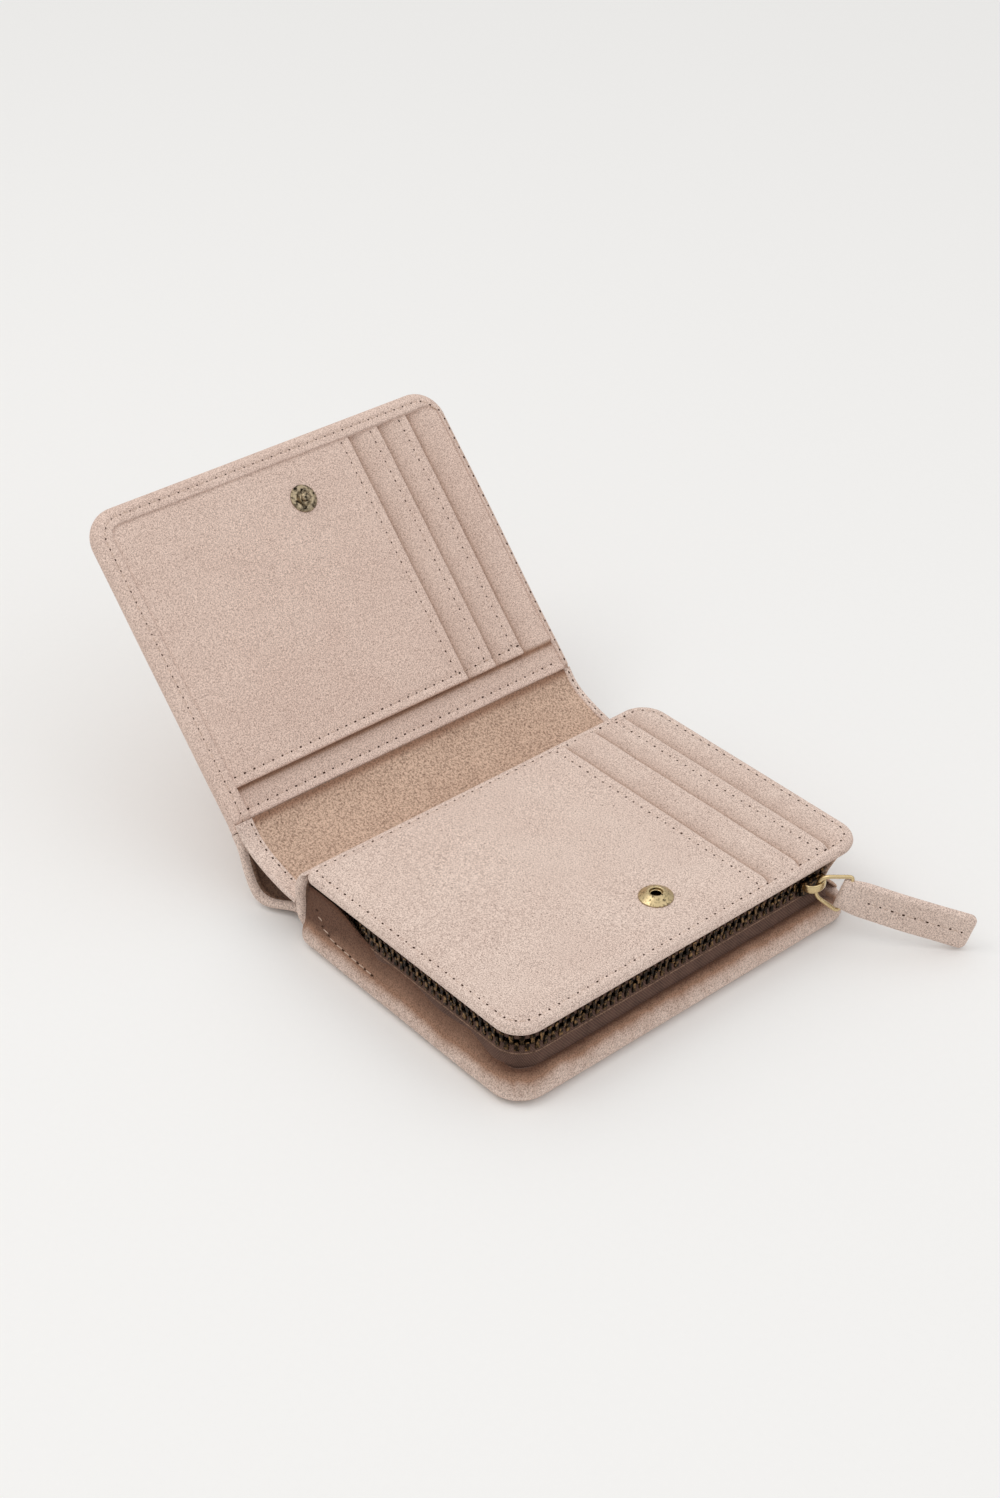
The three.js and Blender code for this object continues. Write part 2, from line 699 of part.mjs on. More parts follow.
const spine = new THREE.Group();
spineCover(spine);
spineLiner(spine);
wallet.add(spine);

const page = new THREE.Group();
frontPage(page);
stud(page);
page.position.set(pageFoldX, 0, pageFoldZ);
page.rotation.y = degrees(pageRise);
wallet.add(page);

export default wallet;
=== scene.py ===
"""The visual model of an open suede bifold wallet with a zip-round coin pouch.

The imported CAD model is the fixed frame. Every soft piece is a grid over a rounded rectangle that is
rolled at its edges and laid in place: flat, on the leaning page, on the pull tab, or along a curve.
Lengths in the mesh code are millimetres, and object meshes are in metres.
"""

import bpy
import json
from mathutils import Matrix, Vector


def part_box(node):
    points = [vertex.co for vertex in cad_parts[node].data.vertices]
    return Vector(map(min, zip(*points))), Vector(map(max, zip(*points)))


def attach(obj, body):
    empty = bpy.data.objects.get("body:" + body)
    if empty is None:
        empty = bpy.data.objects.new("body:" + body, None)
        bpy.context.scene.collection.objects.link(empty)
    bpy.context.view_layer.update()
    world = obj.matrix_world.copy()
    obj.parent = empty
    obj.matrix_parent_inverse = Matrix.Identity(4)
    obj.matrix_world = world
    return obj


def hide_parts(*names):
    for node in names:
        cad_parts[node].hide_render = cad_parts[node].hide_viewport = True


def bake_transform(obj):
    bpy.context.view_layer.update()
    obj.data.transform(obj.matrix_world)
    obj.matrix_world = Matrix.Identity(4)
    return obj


bl_info = {
    "name": "Suede Bifold Wallet",
    "version": (1, 0, 0),
    "blender": (4, 5, 0),
    "location": "3D View > Sidebar > Wallet",
    "description": "Builds the suede, zip, snap and pull of an open bifold wallet around its CAD frame",
    "category": "Object",
}

import json
import math

import bmesh
import bpy
import numpy as np
from mathutils import Vector

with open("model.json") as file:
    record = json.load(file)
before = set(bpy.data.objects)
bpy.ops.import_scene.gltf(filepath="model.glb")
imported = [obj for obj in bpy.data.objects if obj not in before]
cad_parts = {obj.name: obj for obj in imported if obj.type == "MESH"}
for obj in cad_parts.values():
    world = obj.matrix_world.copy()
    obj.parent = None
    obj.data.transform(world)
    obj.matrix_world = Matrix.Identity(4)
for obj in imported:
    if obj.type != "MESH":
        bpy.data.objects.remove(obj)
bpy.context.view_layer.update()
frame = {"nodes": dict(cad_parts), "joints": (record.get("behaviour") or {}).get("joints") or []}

# ---- Places that come from the frame ----


def box_mm(node):
    """The lowest and highest corner of a CAD node, in millimetres."""
    low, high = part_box(node)
    return np.array(low) * 1000, np.array(high) * 1000


def joint_mm(name):
    """Where a joint's axis is, in millimetres."""
    joint = next(j for j in frame["joints"] if j["name"] == name)
    return np.array(joint["pos_m"]) * 1000


LID_LOW, LID_HIGH = box_mm("lid_shell")
COVER_LOW, COVER_HIGH = box_mm("back_cover")
BOTTOM_HIGH = box_mm("pouch_bottom")[1]
BOARD_LOW, BOARD_HIGH = box_mm("back_stiffener")
LINING_LOW, LINING_HIGH = box_mm("pouch_floor_lining")
CEILING_LOW, CEILING_HIGH = box_mm("lid_lining")
TAPE_LOW, TAPE_HIGH = box_mm("lower_zip_tape")
TEETH_LOW, TEETH_HIGH = box_mm("lower_zip_teeth")
UPPER_LOW, UPPER_HIGH = box_mm("upper_zip_teeth")
SLIDER_LOW, SLIDER_HIGH = box_mm("slider_body")
BRIDGE_LOW, BRIDGE_HIGH = box_mm("slider_bridge")
SOCKET_LOW, SOCKET_HIGH = box_mm("snap_socket")
GUSSET_LOW, GUSSET_HIGH = box_mm("pouch_gusset")
FOLD = joint_mm("spine_fold")
PAGE_FOLD = joint_mm("cover_fold")
PIVOT = joint_mm("ring_swing")

# Corner radii go round from the low corner. The lid's is tighter where the zip starts.
LID_RECT = (LID_LOW[0], LID_HIGH[0], LID_LOW[1], LID_HIGH[1])
LID_ROUND = (4.5, 9.0, 9.0, 9.0)
COVER_Y = (COVER_LOW[1], COVER_HIGH[1])
LID_STEPS = [box_mm(n)[1][1] for n in ("lid_front_panel", "lid_pocket_2", "lid_pocket_3")]
PAGE_STEPS = [box_mm(n)[1][1] for n in ("front_card_panel", "front_pocket_2", "front_pocket_3")]

# The leaning page: its size, and how far from its fold the pockets and the stud are.
PAGE_RISE = math.radians(47)
PAGE_LONG = 102.2
PAGE_HALF = 3.1
CARDS_FROM = 12.0
SLIP_FROM = 2.2
STUD_AT = -83.31

# The pull stands out sideways from the slider and droops.
PULL_TURN = math.radians(42)
PULL_DROOP = math.radians(16)
RING_LONG = 8.6

# The zip's path: its corner, and the place on the side from where it sinks in towards its start.
CHAIN_CORNER = 8.0
SINK_FROM = -14.0
SINK = 4.2

# How high the rim of the pouch's bottom climbs on the side, and at the corner by the spine.
SIDE_TOP = 14.2
CORNER_TOP = 19.6

# At that corner the outer cover is tucked in below the pouch.
TUCK_IN = 5.4
TUCK_UP = 2.8

# ---- Settings ----


def linear(hex_code):
    """An sRGB hex colour as linear RGB."""
    channels = [int(hex_code[i:i + 2], 16) / 255 for i in (1, 3, 5)]
    return tuple(c / 12.92 if c <= 0.04045 else ((c + 0.055) / 1.055) ** 2.4 for c in channels)


def length_setting(label, text, millimetres):
    """A length in the panel, given here in millimetres."""
    return bpy.props.FloatProperty(
        name=label, description=text, default=millimetres / 1000, min=0.00001, unit="LENGTH", precision=5)


def colour_setting(label, text, hex_code):
    """A colour in the panel, given here as sRGB hex."""
    return bpy.props.FloatVectorProperty(
        name=label, description=text, default=linear(hex_code), subtype="COLOR", size=3, min=0, max=1)


class WalletSizes(bpy.types.PropertyGroup):
    """Sizes of the sewing, the nap and the zip."""

    stitch_pitch: length_setting("Stitch pitch", "From one needle hole to the next", 3.4)
    stitch_inset: length_setting("Stitch inset", "From a turned edge to its row of stitches", 2.8)
    thread: length_setting("Thread", "Thickness of the sewing thread", 0.42)
    tooth_pitch: length_setting("Tooth pitch", "From one zip tooth to the next on the same tape", 2.67)
    nap_grain: length_setting("Nap grain", "Size of the tufts in the suede's nap", 0.38)
    weave: length_setting("Weave", "Thread spacing of the zip tape", 0.45)
    ring_wire: length_setting("Ring wire", "Thickness of the pull ring's wire", 1.2)
    softness: length_setting("Softness", "How far the soft surfaces wander from flat", 0.3)


class WalletColours(bpy.types.PropertyGroup):
    """Colours of the suede, the cloth and the metal."""

    suede_light: colour_setting("Suede, light", "Nap that is brushed towards the light", "#E5D1C4")
    suede_dark: colour_setting("Suede, dark", "Nap that is brushed away from the light", "#C0A193")
    liner_light: colour_setting("Liner, light", "Raised nap of the spine's liner", "#D2B5A0")
    liner_dark: colour_setting("Liner, dark", "Hollows of the liner's nap", "#977661")
    # On the inside faces of the end wall and the spine cover, this dark colour is partly the real back of the
    # suede and partly painted shade in the hollow.
    back_light: colour_setting("Suede back, light", "Fibres on the unsanded back of the suede", "#8F7260")
    back_dark: colour_setting("Suede back, dark", "Hollows on the unsanded back of the suede", "#6F5546")
    board: colour_setting("Board", "Leather board that stiffens the covers", "#CFC8BC")
    lining: colour_setting("Pouch lining", "Woven lining of the coin pouch", "#B59C8A")
    tape: colour_setting("Zip tape", "Woven tape of the zip", "#60473C")
    hole: colour_setting("Needle holes", "The dark inside of a needle hole", "#4A362C")
    thread: colour_setting("Thread", "Sewing thread", "#C8AD9A")
    old_brass: colour_setting("Antique brass", "Rubbed parts of the darkened brass", "#8F6F4B")
    brass_dark: colour_setting("Brass patina", "The dark finish left in the hollows", "#211A14")
    gold: colour_setting("Pale gold", "Plating on the ring and bridge", "#D6BF92")
    snap_metal: colour_setting("Snap metal", "Rubbed parts of the snap", "#CDB88E")
    stud_metal: colour_setting("Stud metal", "Rubbed parts of the stud", "#B5A488")
    # Painted shade: suede that carries the mesh's shade attribute is mixed towards these two colours, brown
    # and then dark.
    shade_brown: colour_setting("Brown painted shade", "Suede painted brown where it is in part shade", "#92715D")
    shade: colour_setting("Shaded suede", "Suede darkened in folds and against the zip", "#53392C")
    floor: colour_setting("Floor", "The table and the room behind it", "#F0EFED")


# ---- Materials ----


def add_node(tree, kind, inputs=None, **settings):
    """Adds a node. A socket given as an input is linked, and any other value is set."""
    node = tree.nodes.new(kind)
    for key, value in settings.items():
        setattr(node, key, value)
    for key, value in (inputs or {}).items():
        if isinstance(value, bpy.types.NodeSocket):
            tree.links.new(value, node.inputs[key])
        else:
            node.inputs[key].default_value = value
    return node


def new_material(name, shader_inputs):
    """An empty material with a principled shader, and the coordinates that its patterns use."""
    material = bpy.data.materials.new(name)
    material.use_nodes = True
    tree = material.node_tree
    tree.nodes.clear()
    shader = add_node(tree, "ShaderNodeBsdfPrincipled", shader_inputs)
    add_node(tree, "ShaderNodeOutputMaterial", {"Surface": shader.outputs["BSDF"]})
    where = add_node(tree, "ShaderNodeTexCoord").outputs["Object"]
    return material, tree, shader, where


def rgba(colour, factor=1.0):
    """A colour made lighter or darker, for a node's socket."""
    return (*[min(1.0, c * factor) for c in colour], 1.0)


def napped_suede(name, light, dark, grain, speck, sheen):
    """Goat suede, split and sanded to a short nap. Strokes lay the nap light or dark in soft clouds,
    and the tufts show as a fine grain with small dark specks. Real tufts are about 0.15 mm across, and
    are drawn coarser so that they show. The mesh's shade attribute is painted shade, which turns the
    suede brown and then dark."""
    material, tree, shader, where = new_material(name, {
        "Roughness": 0.94, "IOR": 1.5, "Specular IOR Level": 0.18,
        "Sheen Weight": sheen, "Sheen Roughness": 0.45, "Sheen Tint": rgba(light)})
    shade_brown = bpy.context.scene.wallet_colours.shade_brown
    shaded = bpy.context.scene.wallet_colours.shade
    clouds = add_node(tree, "ShaderNodeTexNoise", {
        "Vector": where, "Scale": 1 / 0.021, "Detail": 3.0, "Roughness": 0.55, "Distortion": 0.4})
    stretched = add_node(tree, "ShaderNodeMapping", {
        "Vector": where, "Rotation": (0.0, 0.0, 0.7), "Scale": (1.0, 0.3, 1.0)})
    strokes = add_node(tree, "ShaderNodeTexNoise", {
        "Vector": stretched.outputs["Vector"], "Scale": 1 / 0.0045, "Detail": 3.0, "Roughness": 0.6})
    tufts = add_node(tree, "ShaderNodeTexNoise", {
        "Vector": where, "Scale": 1 / grain, "Detail": 3.0, "Roughness": 0.8})
    lay = add_node(tree, "ShaderNodeMapRange", {
        "Value": clouds.outputs["Fac"], "From Min": 0.36, "From Max": 0.64, "To Min": 0.12, "To Max": 0.8})
    brushed = add_node(tree, "ShaderNodeMix", {
        0: lay.outputs["Result"], 6: rgba(light), 7: rgba(dark)}, data_type="RGBA")
    stroke = add_node(tree, "ShaderNodeMapRange", {
        "Value": strokes.outputs["Fac"], "From Min": 0.3, "From Max": 0.7, "To Min": 0.0, "To Max": 0.36})
    streaked = add_node(tree, "ShaderNodeMix", {
        0: stroke.outputs["Result"], 6: brushed.outputs[2], 7: rgba(dark, 0.8)}, data_type="RGBA")
    tuft = add_node(tree, "ShaderNodeMapRange", {
        "Value": tufts.outputs["Fac"], "From Min": 0.34, "From Max": 0.58, "To Min": 0.0, "To Max": 1.0})
    between = add_node(tree, "ShaderNodeMix", {
        0: 0.8, 6: streaked.outputs[2], 7: rgba(dark, 0.5)}, data_type="RGBA")
    raised = add_node(tree, "ShaderNodeMix", {
        0: 0.8, 6: streaked.outputs[2], 7: rgba(light, 1.18)}, data_type="RGBA")
    grained = add_node(tree, "ShaderNodeMix", {
        0: tuft.outputs["Result"], 6: between.outputs[2], 7: raised.outputs[2]}, data_type="RGBA")
    specks = add_node(tree, "ShaderNodeTexNoise", {
        "Vector": where, "Scale": 0.8 / grain, "Detail": 1.0, "Roughness": 0.5, "Distortion": 0.6})
    dot = add_node(tree, "ShaderNodeMapRange", {
        "Value": specks.outputs["Fac"], "From Min": 0.63, "From Max": 0.74, "To Min": 0.0, "To Max": speck})
    specked = add_node(tree, "ShaderNodeMix", {
        0: dot.outputs["Result"], 6: grained.outputs[2], 7: rgba(dark, 0.42)}, data_type="RGBA")
    # Painted shade: the mesh's shade attribute turns the suede brown up to 0.5, and towards the dark shaded
    # colour above that.
    painted_shade = add_node(tree, "ShaderNodeAttribute", attribute_name="shade")
    browner = add_node(tree, "ShaderNodeMapRange", {"Value": painted_shade.outputs["Fac"], "From Max": 0.5})
    darker = add_node(tree, "ShaderNodeMapRange", {"Value": painted_shade.outputs["Fac"], "From Min": 0.5})
    brown = add_node(tree, "ShaderNodeMix", {
        0: tuft.outputs["Result"], 6: rgba(shade_brown, 0.55), 7: rgba(shade_brown, 1.4)}, data_type="RGBA")
    toned = add_node(tree, "ShaderNodeMix", {
        0: browner.outputs["Result"], 6: specked.outputs[2], 7: brown.outputs[2]}, data_type="RGBA")
    hollow = add_node(tree, "ShaderNodeMix", {
        0: tuft.outputs["Result"], 6: rgba(shaded, 0.6), 7: rgba(shaded, 1.7)}, data_type="RGBA")
    deep = add_node(tree, "ShaderNodeMix", {
        0: darker.outputs["Result"], 6: toned.outputs[2], 7: hollow.outputs[2]}, data_type="RGBA")
    tree.links.new(deep.outputs[2], shader.inputs["Base Color"])
    bump = add_node(tree, "ShaderNodeBump", {
        "Height": tufts.outputs["Fac"], "Strength": 0.5, "Distance": grain * 0.5})
    long_bump = add_node(tree, "ShaderNodeBump", {
        "Height": strokes.outputs["Fac"], "Strength": 0.35, "Distance": 0.0006,
        "Normal": bump.outputs["Normal"]})
    tree.links.new(long_bump.outputs["Normal"], shader.inputs["Normal"])
    return material


def woven_cloth(name, colour, spacing, contrast):
    """Polyester cloth, plain woven. Crossed threads show as fine ribs that catch the light unevenly.
    The ribs are drawn at the thread spacing, which is as coarse as they need to show."""
    material, tree, shader, where = new_material(name, {
        "Roughness": 0.8, "IOR": 1.5, "Specular IOR Level": 0.3,
        "Sheen Weight": 0.12, "Sheen Roughness": 0.5, "Sheen Tint": rgba(colour)})
    warp = add_node(tree, "ShaderNodeTexWave", {
        "Vector": where, "Scale": 0.314 / spacing, "Distortion": 0.6, "Detail": 1.0},
        bands_direction="DIAGONAL")
    weft = add_node(tree, "ShaderNodeTexWave", {
        "Vector": where, "Scale": 0.314 / spacing, "Distortion": 0.6, "Detail": 1.0},
        bands_direction="Z")
    weave = add_node(tree, "ShaderNodeMath", {
        0: warp.outputs["Fac"], 1: weft.outputs["Fac"]}, operation="MULTIPLY")
    wear = add_node(tree, "ShaderNodeTexNoise", {
        "Vector": where, "Scale": 1 / 0.004, "Detail": 4.0, "Roughness": 0.65})
    both = add_node(tree, "ShaderNodeMath", {
        0: weave.outputs["Value"], 1: wear.outputs["Fac"]}, operation="ADD")
    shade = add_node(tree, "ShaderNodeMapRange", {
        "Value": both.outputs["Value"], "From Min": 0.35, "From Max": 1.3})
    dyed = add_node(tree, "ShaderNodeMix", {
        0: shade.outputs["Result"], 6: rgba(colour, 1 - contrast), 7: rgba(colour, 1 + contrast)},
        data_type="RGBA")
    tree.links.new(dyed.outputs[2], shader.inputs["Base Color"])
    bump = add_node(tree, "ShaderNodeBump", {
        "Height": weave.outputs["Value"], "Strength": 0.6, "Distance": spacing * 0.3})
    tree.links.new(bump.outputs["Normal"], shader.inputs["Normal"])
    return material


def antique_brass(name, rubbed, patina, patch, share):
    """Cast brass, blackened and tumbled. High places are rubbed back to dull yellow metal,
    and the dark finish stays in the hollows as irregular patches."""
    material, tree, shader, where = new_material(name, {"Metallic": 1.0})
    worn = add_node(tree, "ShaderNodeTexNoise", {
        "Vector": where, "Scale": 1 / patch, "Detail": 4.0, "Roughness": 0.65, "Distortion": 0.3})
    mask = add_node(tree, "ShaderNodeMapRange", {
        "Value": worn.outputs["Fac"], "From Min": share - 0.08, "From Max": share + 0.1})
    coloured = add_node(tree, "ShaderNodeMix", {
        0: mask.outputs["Result"], 6: rgba(patina), 7: rgba(rubbed)}, data_type="RGBA")
    tree.links.new(coloured.outputs[2], shader.inputs["Base Color"])
    rough = add_node(tree, "ShaderNodeMapRange", {
        "Value": worn.outputs["Fac"], "From Min": 0.3, "From Max": 0.7, "To Min": 0.55, "To Max": 0.28})
    tree.links.new(rough.outputs["Result"], shader.inputs["Roughness"])
    bump = add_node(tree, "ShaderNodeBump", {
        "Height": worn.outputs["Fac"], "Strength": 0.25, "Distance": 0.0001})
    tree.links.new(bump.outputs["Normal"], shader.inputs["Normal"])
    return material


def plated_wire(name, gold):
    """Steel wire and stampings, barrel plated in pale gold. The plating is bright, with a soft haze of
    handling marks that shows as slow changes in the sharpness of its reflections."""
    material, tree, shader, where = new_material(name, {"Metallic": 1.0})
    haze = add_node(tree, "ShaderNodeTexNoise", {
        "Vector": where, "Scale": 1 / 0.0012, "Detail": 3.0, "Roughness": 0.6})
    tint = add_node(tree, "ShaderNodeMix", {
        0: haze.outputs["Fac"], 6: rgba(gold, 0.86), 7: rgba(gold, 1.06)}, data_type="RGBA")
    tree.links.new(tint.outputs[2], shader.inputs["Base Color"])
    rough = add_node(tree, "ShaderNodeMapRange", {
        "Value": haze.outputs["Fac"], "From Min": 0.3, "From Max": 0.7, "To Min": 0.2, "To Max": 0.34})
    tree.links.new(rough.outputs["Result"], shader.inputs["Roughness"])
    return material


def spun_thread(name, colour):
    """Bonded polyester thread, twisted from three strands. The twist shows as slanting light and dark."""
    material, tree, shader, where = new_material(name, {
        "Roughness": 0.7, "IOR": 1.5, "Specular IOR Level": 0.35})
    twist = add_node(tree, "ShaderNodeTexWave", {
        "Vector": where, "Scale": 0.314 / 0.0003, "Distortion": 1.0}, bands_direction="DIAGONAL")
    dyed = add_node(tree, "ShaderNodeMix", {
        0: twist.outputs["Fac"], 6: rgba(colour, 0.72), 7: rgba(colour, 1.08)}, data_type="RGBA")
    tree.links.new(dyed.outputs[2], shader.inputs["Base Color"])
    return material


def pierced_hole(name, colour):
    """The inside of a needle hole in suede: fibres in deep shade, nearly black brown."""
    material, tree, shader, where = new_material(name, {
        "Roughness": 1.0, "IOR": 1.5, "Specular IOR Level": 0.0})
    fibres = add_node(tree, "ShaderNodeTexNoise", {"Vector": where, "Scale": 1 / 0.0004, "Detail": 2.0})
    deep = add_node(tree, "ShaderNodeMix", {
        0: fibres.outputs["Fac"], 6: rgba(colour, 0.5), 7: rgba(colour, 1.3)}, data_type="RGBA")
    tree.links.new(deep.outputs[2], shader.inputs["Base Color"])
    return material


def bonded_board(name, colour):
    """Reconstituted leather board, rolled flat. Short fibres show as flecks in a dull even surface."""
    material, tree, shader, where = new_material(name, {
        "Roughness": 0.9, "IOR": 1.5, "Specular IOR Level": 0.25})
    flecks = add_node(tree, "ShaderNodeTexNoise", {
        "Vector": where, "Scale": 1 / 0.0015, "Detail": 5.0, "Roughness": 0.75})
    tone = add_node(tree, "ShaderNodeMix", {
        0: flecks.outputs["Fac"], 6: rgba(colour, 0.7), 7: rgba(colour, 1.1)}, data_type="RGBA")
    tree.links.new(tone.outputs[2], shader.inputs["Base Color"])
    bump = add_node(tree, "ShaderNodeBump", {
        "Height": flecks.outputs["Fac"], "Strength": 0.2, "Distance": 0.0002})
    tree.links.new(bump.outputs["Normal"], shader.inputs["Normal"])
    return material


def matt_paper(name, colour):
    """Seamless background paper, uncoated. It is even and matt, with a barely visible tooth."""
    material, tree, shader, where = new_material(name, {
        "Roughness": 0.95, "IOR": 1.45, "Specular IOR Level": 0.1})
    tooth = add_node(tree, "ShaderNodeTexNoise", {"Vector": where, "Scale": 1 / 0.002, "Detail": 2.0})
    tone = add_node(tree, "ShaderNodeMix", {
        0: tooth.outputs["Fac"], 6: rgba(colour, 0.985), 7: rgba(colour, 1.0)}, data_type="RGBA")
    tree.links.new(tone.outputs[2], shader.inputs["Base Color"])
    return material


def pinker(colour, green, blue):
    """The page was brushed less, and its suede is a little pinker."""
    return colour[0], colour[1] * green, colour[2] * blue


def finish(kind):
    """The material of one finish, made the first time that it is asked for."""
    sizes = bpy.context.scene.wallet_sizes
    colours = bpy.context.scene.wallet_colours
    makers = {
        "Goat suede, sanded nap": lambda n: napped_suede(
            n, colours.suede_light, colours.suede_dark, sizes.nap_grain, 0.8, 0.2),
        "Goat suede, page pockets": lambda n: napped_suede(
            n, pinker(colours.suede_light, 0.97, 0.96), pinker(colours.suede_dark, 0.96, 0.94),
            sizes.nap_grain, 0.5, 0.2),
        "Goat suede, outer cover": lambda n: napped_suede(
            n, colours.suede_light, colours.suede_dark, sizes.nap_grain * 1.1, 0.7, 0.25),
        "Split suede, browner liner": lambda n: napped_suede(
            n, colours.liner_light, colours.liner_dark, sizes.nap_grain * 1.6, 0.5, 0.15),
        "Suede back, unsanded": lambda n: napped_suede(
            n, colours.back_light, colours.back_dark, sizes.nap_grain * 1.6, 0.4, 0.1),
        "Polyester lining, plain woven": lambda n: woven_cloth(n, colours.lining, sizes.weave, 0.15),
        "Polyester zip tape, woven": lambda n: woven_cloth(n, colours.tape, sizes.weave, 0.45),
        "Brass zip teeth, blackened": lambda n: antique_brass(
            n, colours.old_brass, colours.brass_dark, 0.0012, 0.56),
        "Brass snap, antiqued": lambda n: antique_brass(
            n, colours.snap_metal, colours.brass_dark, 0.0009, 0.39),
        "Brass stud, antiqued": lambda n: antique_brass(
            n, colours.stud_metal, colours.brass_dark, 0.0012, 0.45),
        "Steel wire, pale gold plated": lambda n: plated_wire(n, colours.gold),
        "Polyester thread, twisted": lambda n: spun_thread(n, colours.thread),
        "Needle hole in suede": lambda n: pierced_hole(n, colours.hole),
        "Leather board, rolled": lambda n: bonded_board(n, colours.board),
        "Background paper, matt": lambda n: matt_paper(n, colours.floor),
    }
    return bpy.data.materials.get(kind) or makers[kind](kind)


SUEDE = "Goat suede, sanded nap"
PAGE = "Goat suede, page pockets"
COVER = "Goat suede, outer cover"
BACK = "Suede back, unsanded"
LINER = "Split suede, browner liner"
LINING = "Polyester lining, plain woven"
TAPE = "Polyester zip tape, woven"
TEETH = "Brass zip teeth, blackened"
SNAP = "Brass snap, antiqued"
STUD = "Brass stud, antiqued"
GOLD = "Steel wire, pale gold plated"
THREAD = "Polyester thread, twisted"
HOLE = "Needle hole in suede"
BOARD = "Leather board, rolled"
PAPER = "Background paper, matt"

# ---- Mesh building ----


def ease(value):
    """Goes from 0 to 1 with a gentle start and end."""
    value = np.clip(value, 0, 1)
    return value * value * (3 - 2 * value)


def wander(x, y, size, seed):
    """A smooth random height from -1 to 1 that changes over about size millimetres."""
    table = np.random.default_rng(seed).uniform(-1, 1, (64, 64))
    u, v = np.asarray(x) / size, np.asarray(y) / size
    i, j = np.floor(u).astype(int), np.floor(v).astype(int)
    p, q = ease(u - i), ease(v - j)
    near = table[i % 64, j % 64] * (1 - p) + table[(i + 1) % 64, j % 64] * p
    far = table[i % 64, (j + 1) % 64] * (1 - p) + table[(i + 1) % 64, (j + 1) % 64] * p
    return near * (1 - q) + far * q


def roll(depth, wide, tall):
    """How far a rounded edge has dropped at a given distance in from it."""
    t = np.clip(1 - depth / wide, 0, 1)
    return tall * (1 - np.sqrt(1 - t * t))


def depth_inside(x, y, rect, radii):
    """The distance in from the edge of a rounded rectangle. Its radii go round from the low corner."""
    x0, x1, y0, y1 = rect
    cx, cy = (x0 + x1) / 2, (y0 + y1) / 2
    r = np.where(x < cx, np.where(y < cy, radii[0], radii[3]), np.where(y < cy, radii[1], radii[2]))
    qx = np.abs(x - cx) - (x1 - x0) / 2 + r
    qy = np.abs(y - cy) - (y1 - y0) / 2 + r
    past = np.hypot(np.maximum(qx, 0), np.maximum(qy, 0)) + np.minimum(np.maximum(qx, qy), 0) - r
    return -past


def grid_lines(low, high, near, count):
    """Grid lines from low to high, at the near distances from each edge and even in between."""
    near = np.asarray(near)
    middle = np.linspace(low + near[-1], high - near[-1], count + 1)
    return np.concatenate([low + near[:-1], middle, (high - near[:-1])[::-1]])


def new_piece(name, points, faces, kinds, material_index=None, smooth=True, shade=None):
    """A mesh object from points in millimetres. Points in the same place become one."""
    mesh = bpy.data.meshes.new(name)
    mesh.from_pydata((np.asarray(points) / 1000).tolist(), [], [list(map(int, f)) for f in faces])
    for kind in kinds:
        mesh.materials.append(finish(kind))
    if material_index is not None:
        mesh.polygons.foreach_set("material_index", np.asarray(material_index, np.int32))
    if shade is not None:
        dark = mesh.attributes.new("shade", "FLOAT", "POINT")
        dark.data.foreach_set("value", np.asarray(shade, np.float32))
    work = bmesh.new()
    work.from_mesh(mesh)
    bmesh.ops.remove_doubles(work, verts=work.verts, dist=2e-6)
    bmesh.ops.recalc_face_normals(work, faces=work.faces)
    work.to_mesh(mesh)
    work.free()
    mesh.polygons.foreach_set("use_smooth", np.full(len(mesh.polygons), smooth))
    piece = bpy.data.objects.new(name, mesh)
    bpy.context.scene.collection.objects.link(piece)
    return piece


def flat(a, b, t):
    """Lies level: the grid's own coordinates are the frame's."""
    return np.stack(np.broadcast_arrays(a, b, t), -1)


def on_page(a, b, t):
    """Lies on the leaning page. a is 0 at the page's fold and grows less towards its free edge."""
    c, s = math.cos(PAGE_RISE), math.sin(PAGE_RISE)
    return flat(PAGE_FOLD[0] + a * c + t * s, b, PAGE_FOLD[2] - a * s + t * c)


def on_pull(a, b, t):
    """Lies in the plane of the pull: a runs out from the slider, b up, and t towards the pouch's front."""
    c, s = math.cos(PULL_DROOP), math.sin(PULL_DROOP)
    level, up = a * c + b * s, -a * s + b * c
    c, s = math.cos(PULL_TURN), math.sin(PULL_TURN)
    return flat(PIVOT[0] + level * c + t * s, PIVOT[1] + level * s - t * c, PIVOT[2] + up)


def smooth_curve(points, count=240):
    """Points evenly spaced along a smooth curve through the given ones, and the distance to each."""
    p = np.asarray(points, float)
    p = np.vstack([2 * p[0] - p[1], p, 2 * p[-1] - p[-2]])
    found = []
    for i in range(1, len(p) - 2):
        u = np.linspace(0, 1, 24, endpoint=False)[:, None]
        found.append(0.5 * (2 * p[i] + (p[i + 1] - p[i - 1]) * u
                            + (2 * p[i - 1] - 5 * p[i] + 4 * p[i + 1] - p[i + 2]) * u ** 2
                            + (3 * p[i] - p[i - 1] - 3 * p[i + 1] + p[i + 2]) * u ** 3))
    line = np.vstack(found + [p[-2][None]])
    along = np.concatenate([[0], np.cumsum(np.linalg.norm(np.diff(line, axis=0), axis=1))])
    even = np.linspace(0, along[-1], count)
    return np.stack([np.interp(even, along, line[:, k]) for k in range(line.shape[1])], -1), even


def along_curve(points):
    """Lies along a curve in X and Z: a is the distance along it, and t stands off to one side."""
    line, even = smooth_curve(points)
    slope = np.gradient(line, axis=0)
    slope /= np.linalg.norm(slope, axis=1)[:, None]

    def place(a, b, t):
        x, z = (np.interp(a, even, line[:, k]) for k in (0, 1))
        dx, dz = (np.interp(a, even, slope[:, k]) for k in (0, 1))
        return flat(x + dz * t, b, z - dx * t)

    return place, even[-1]


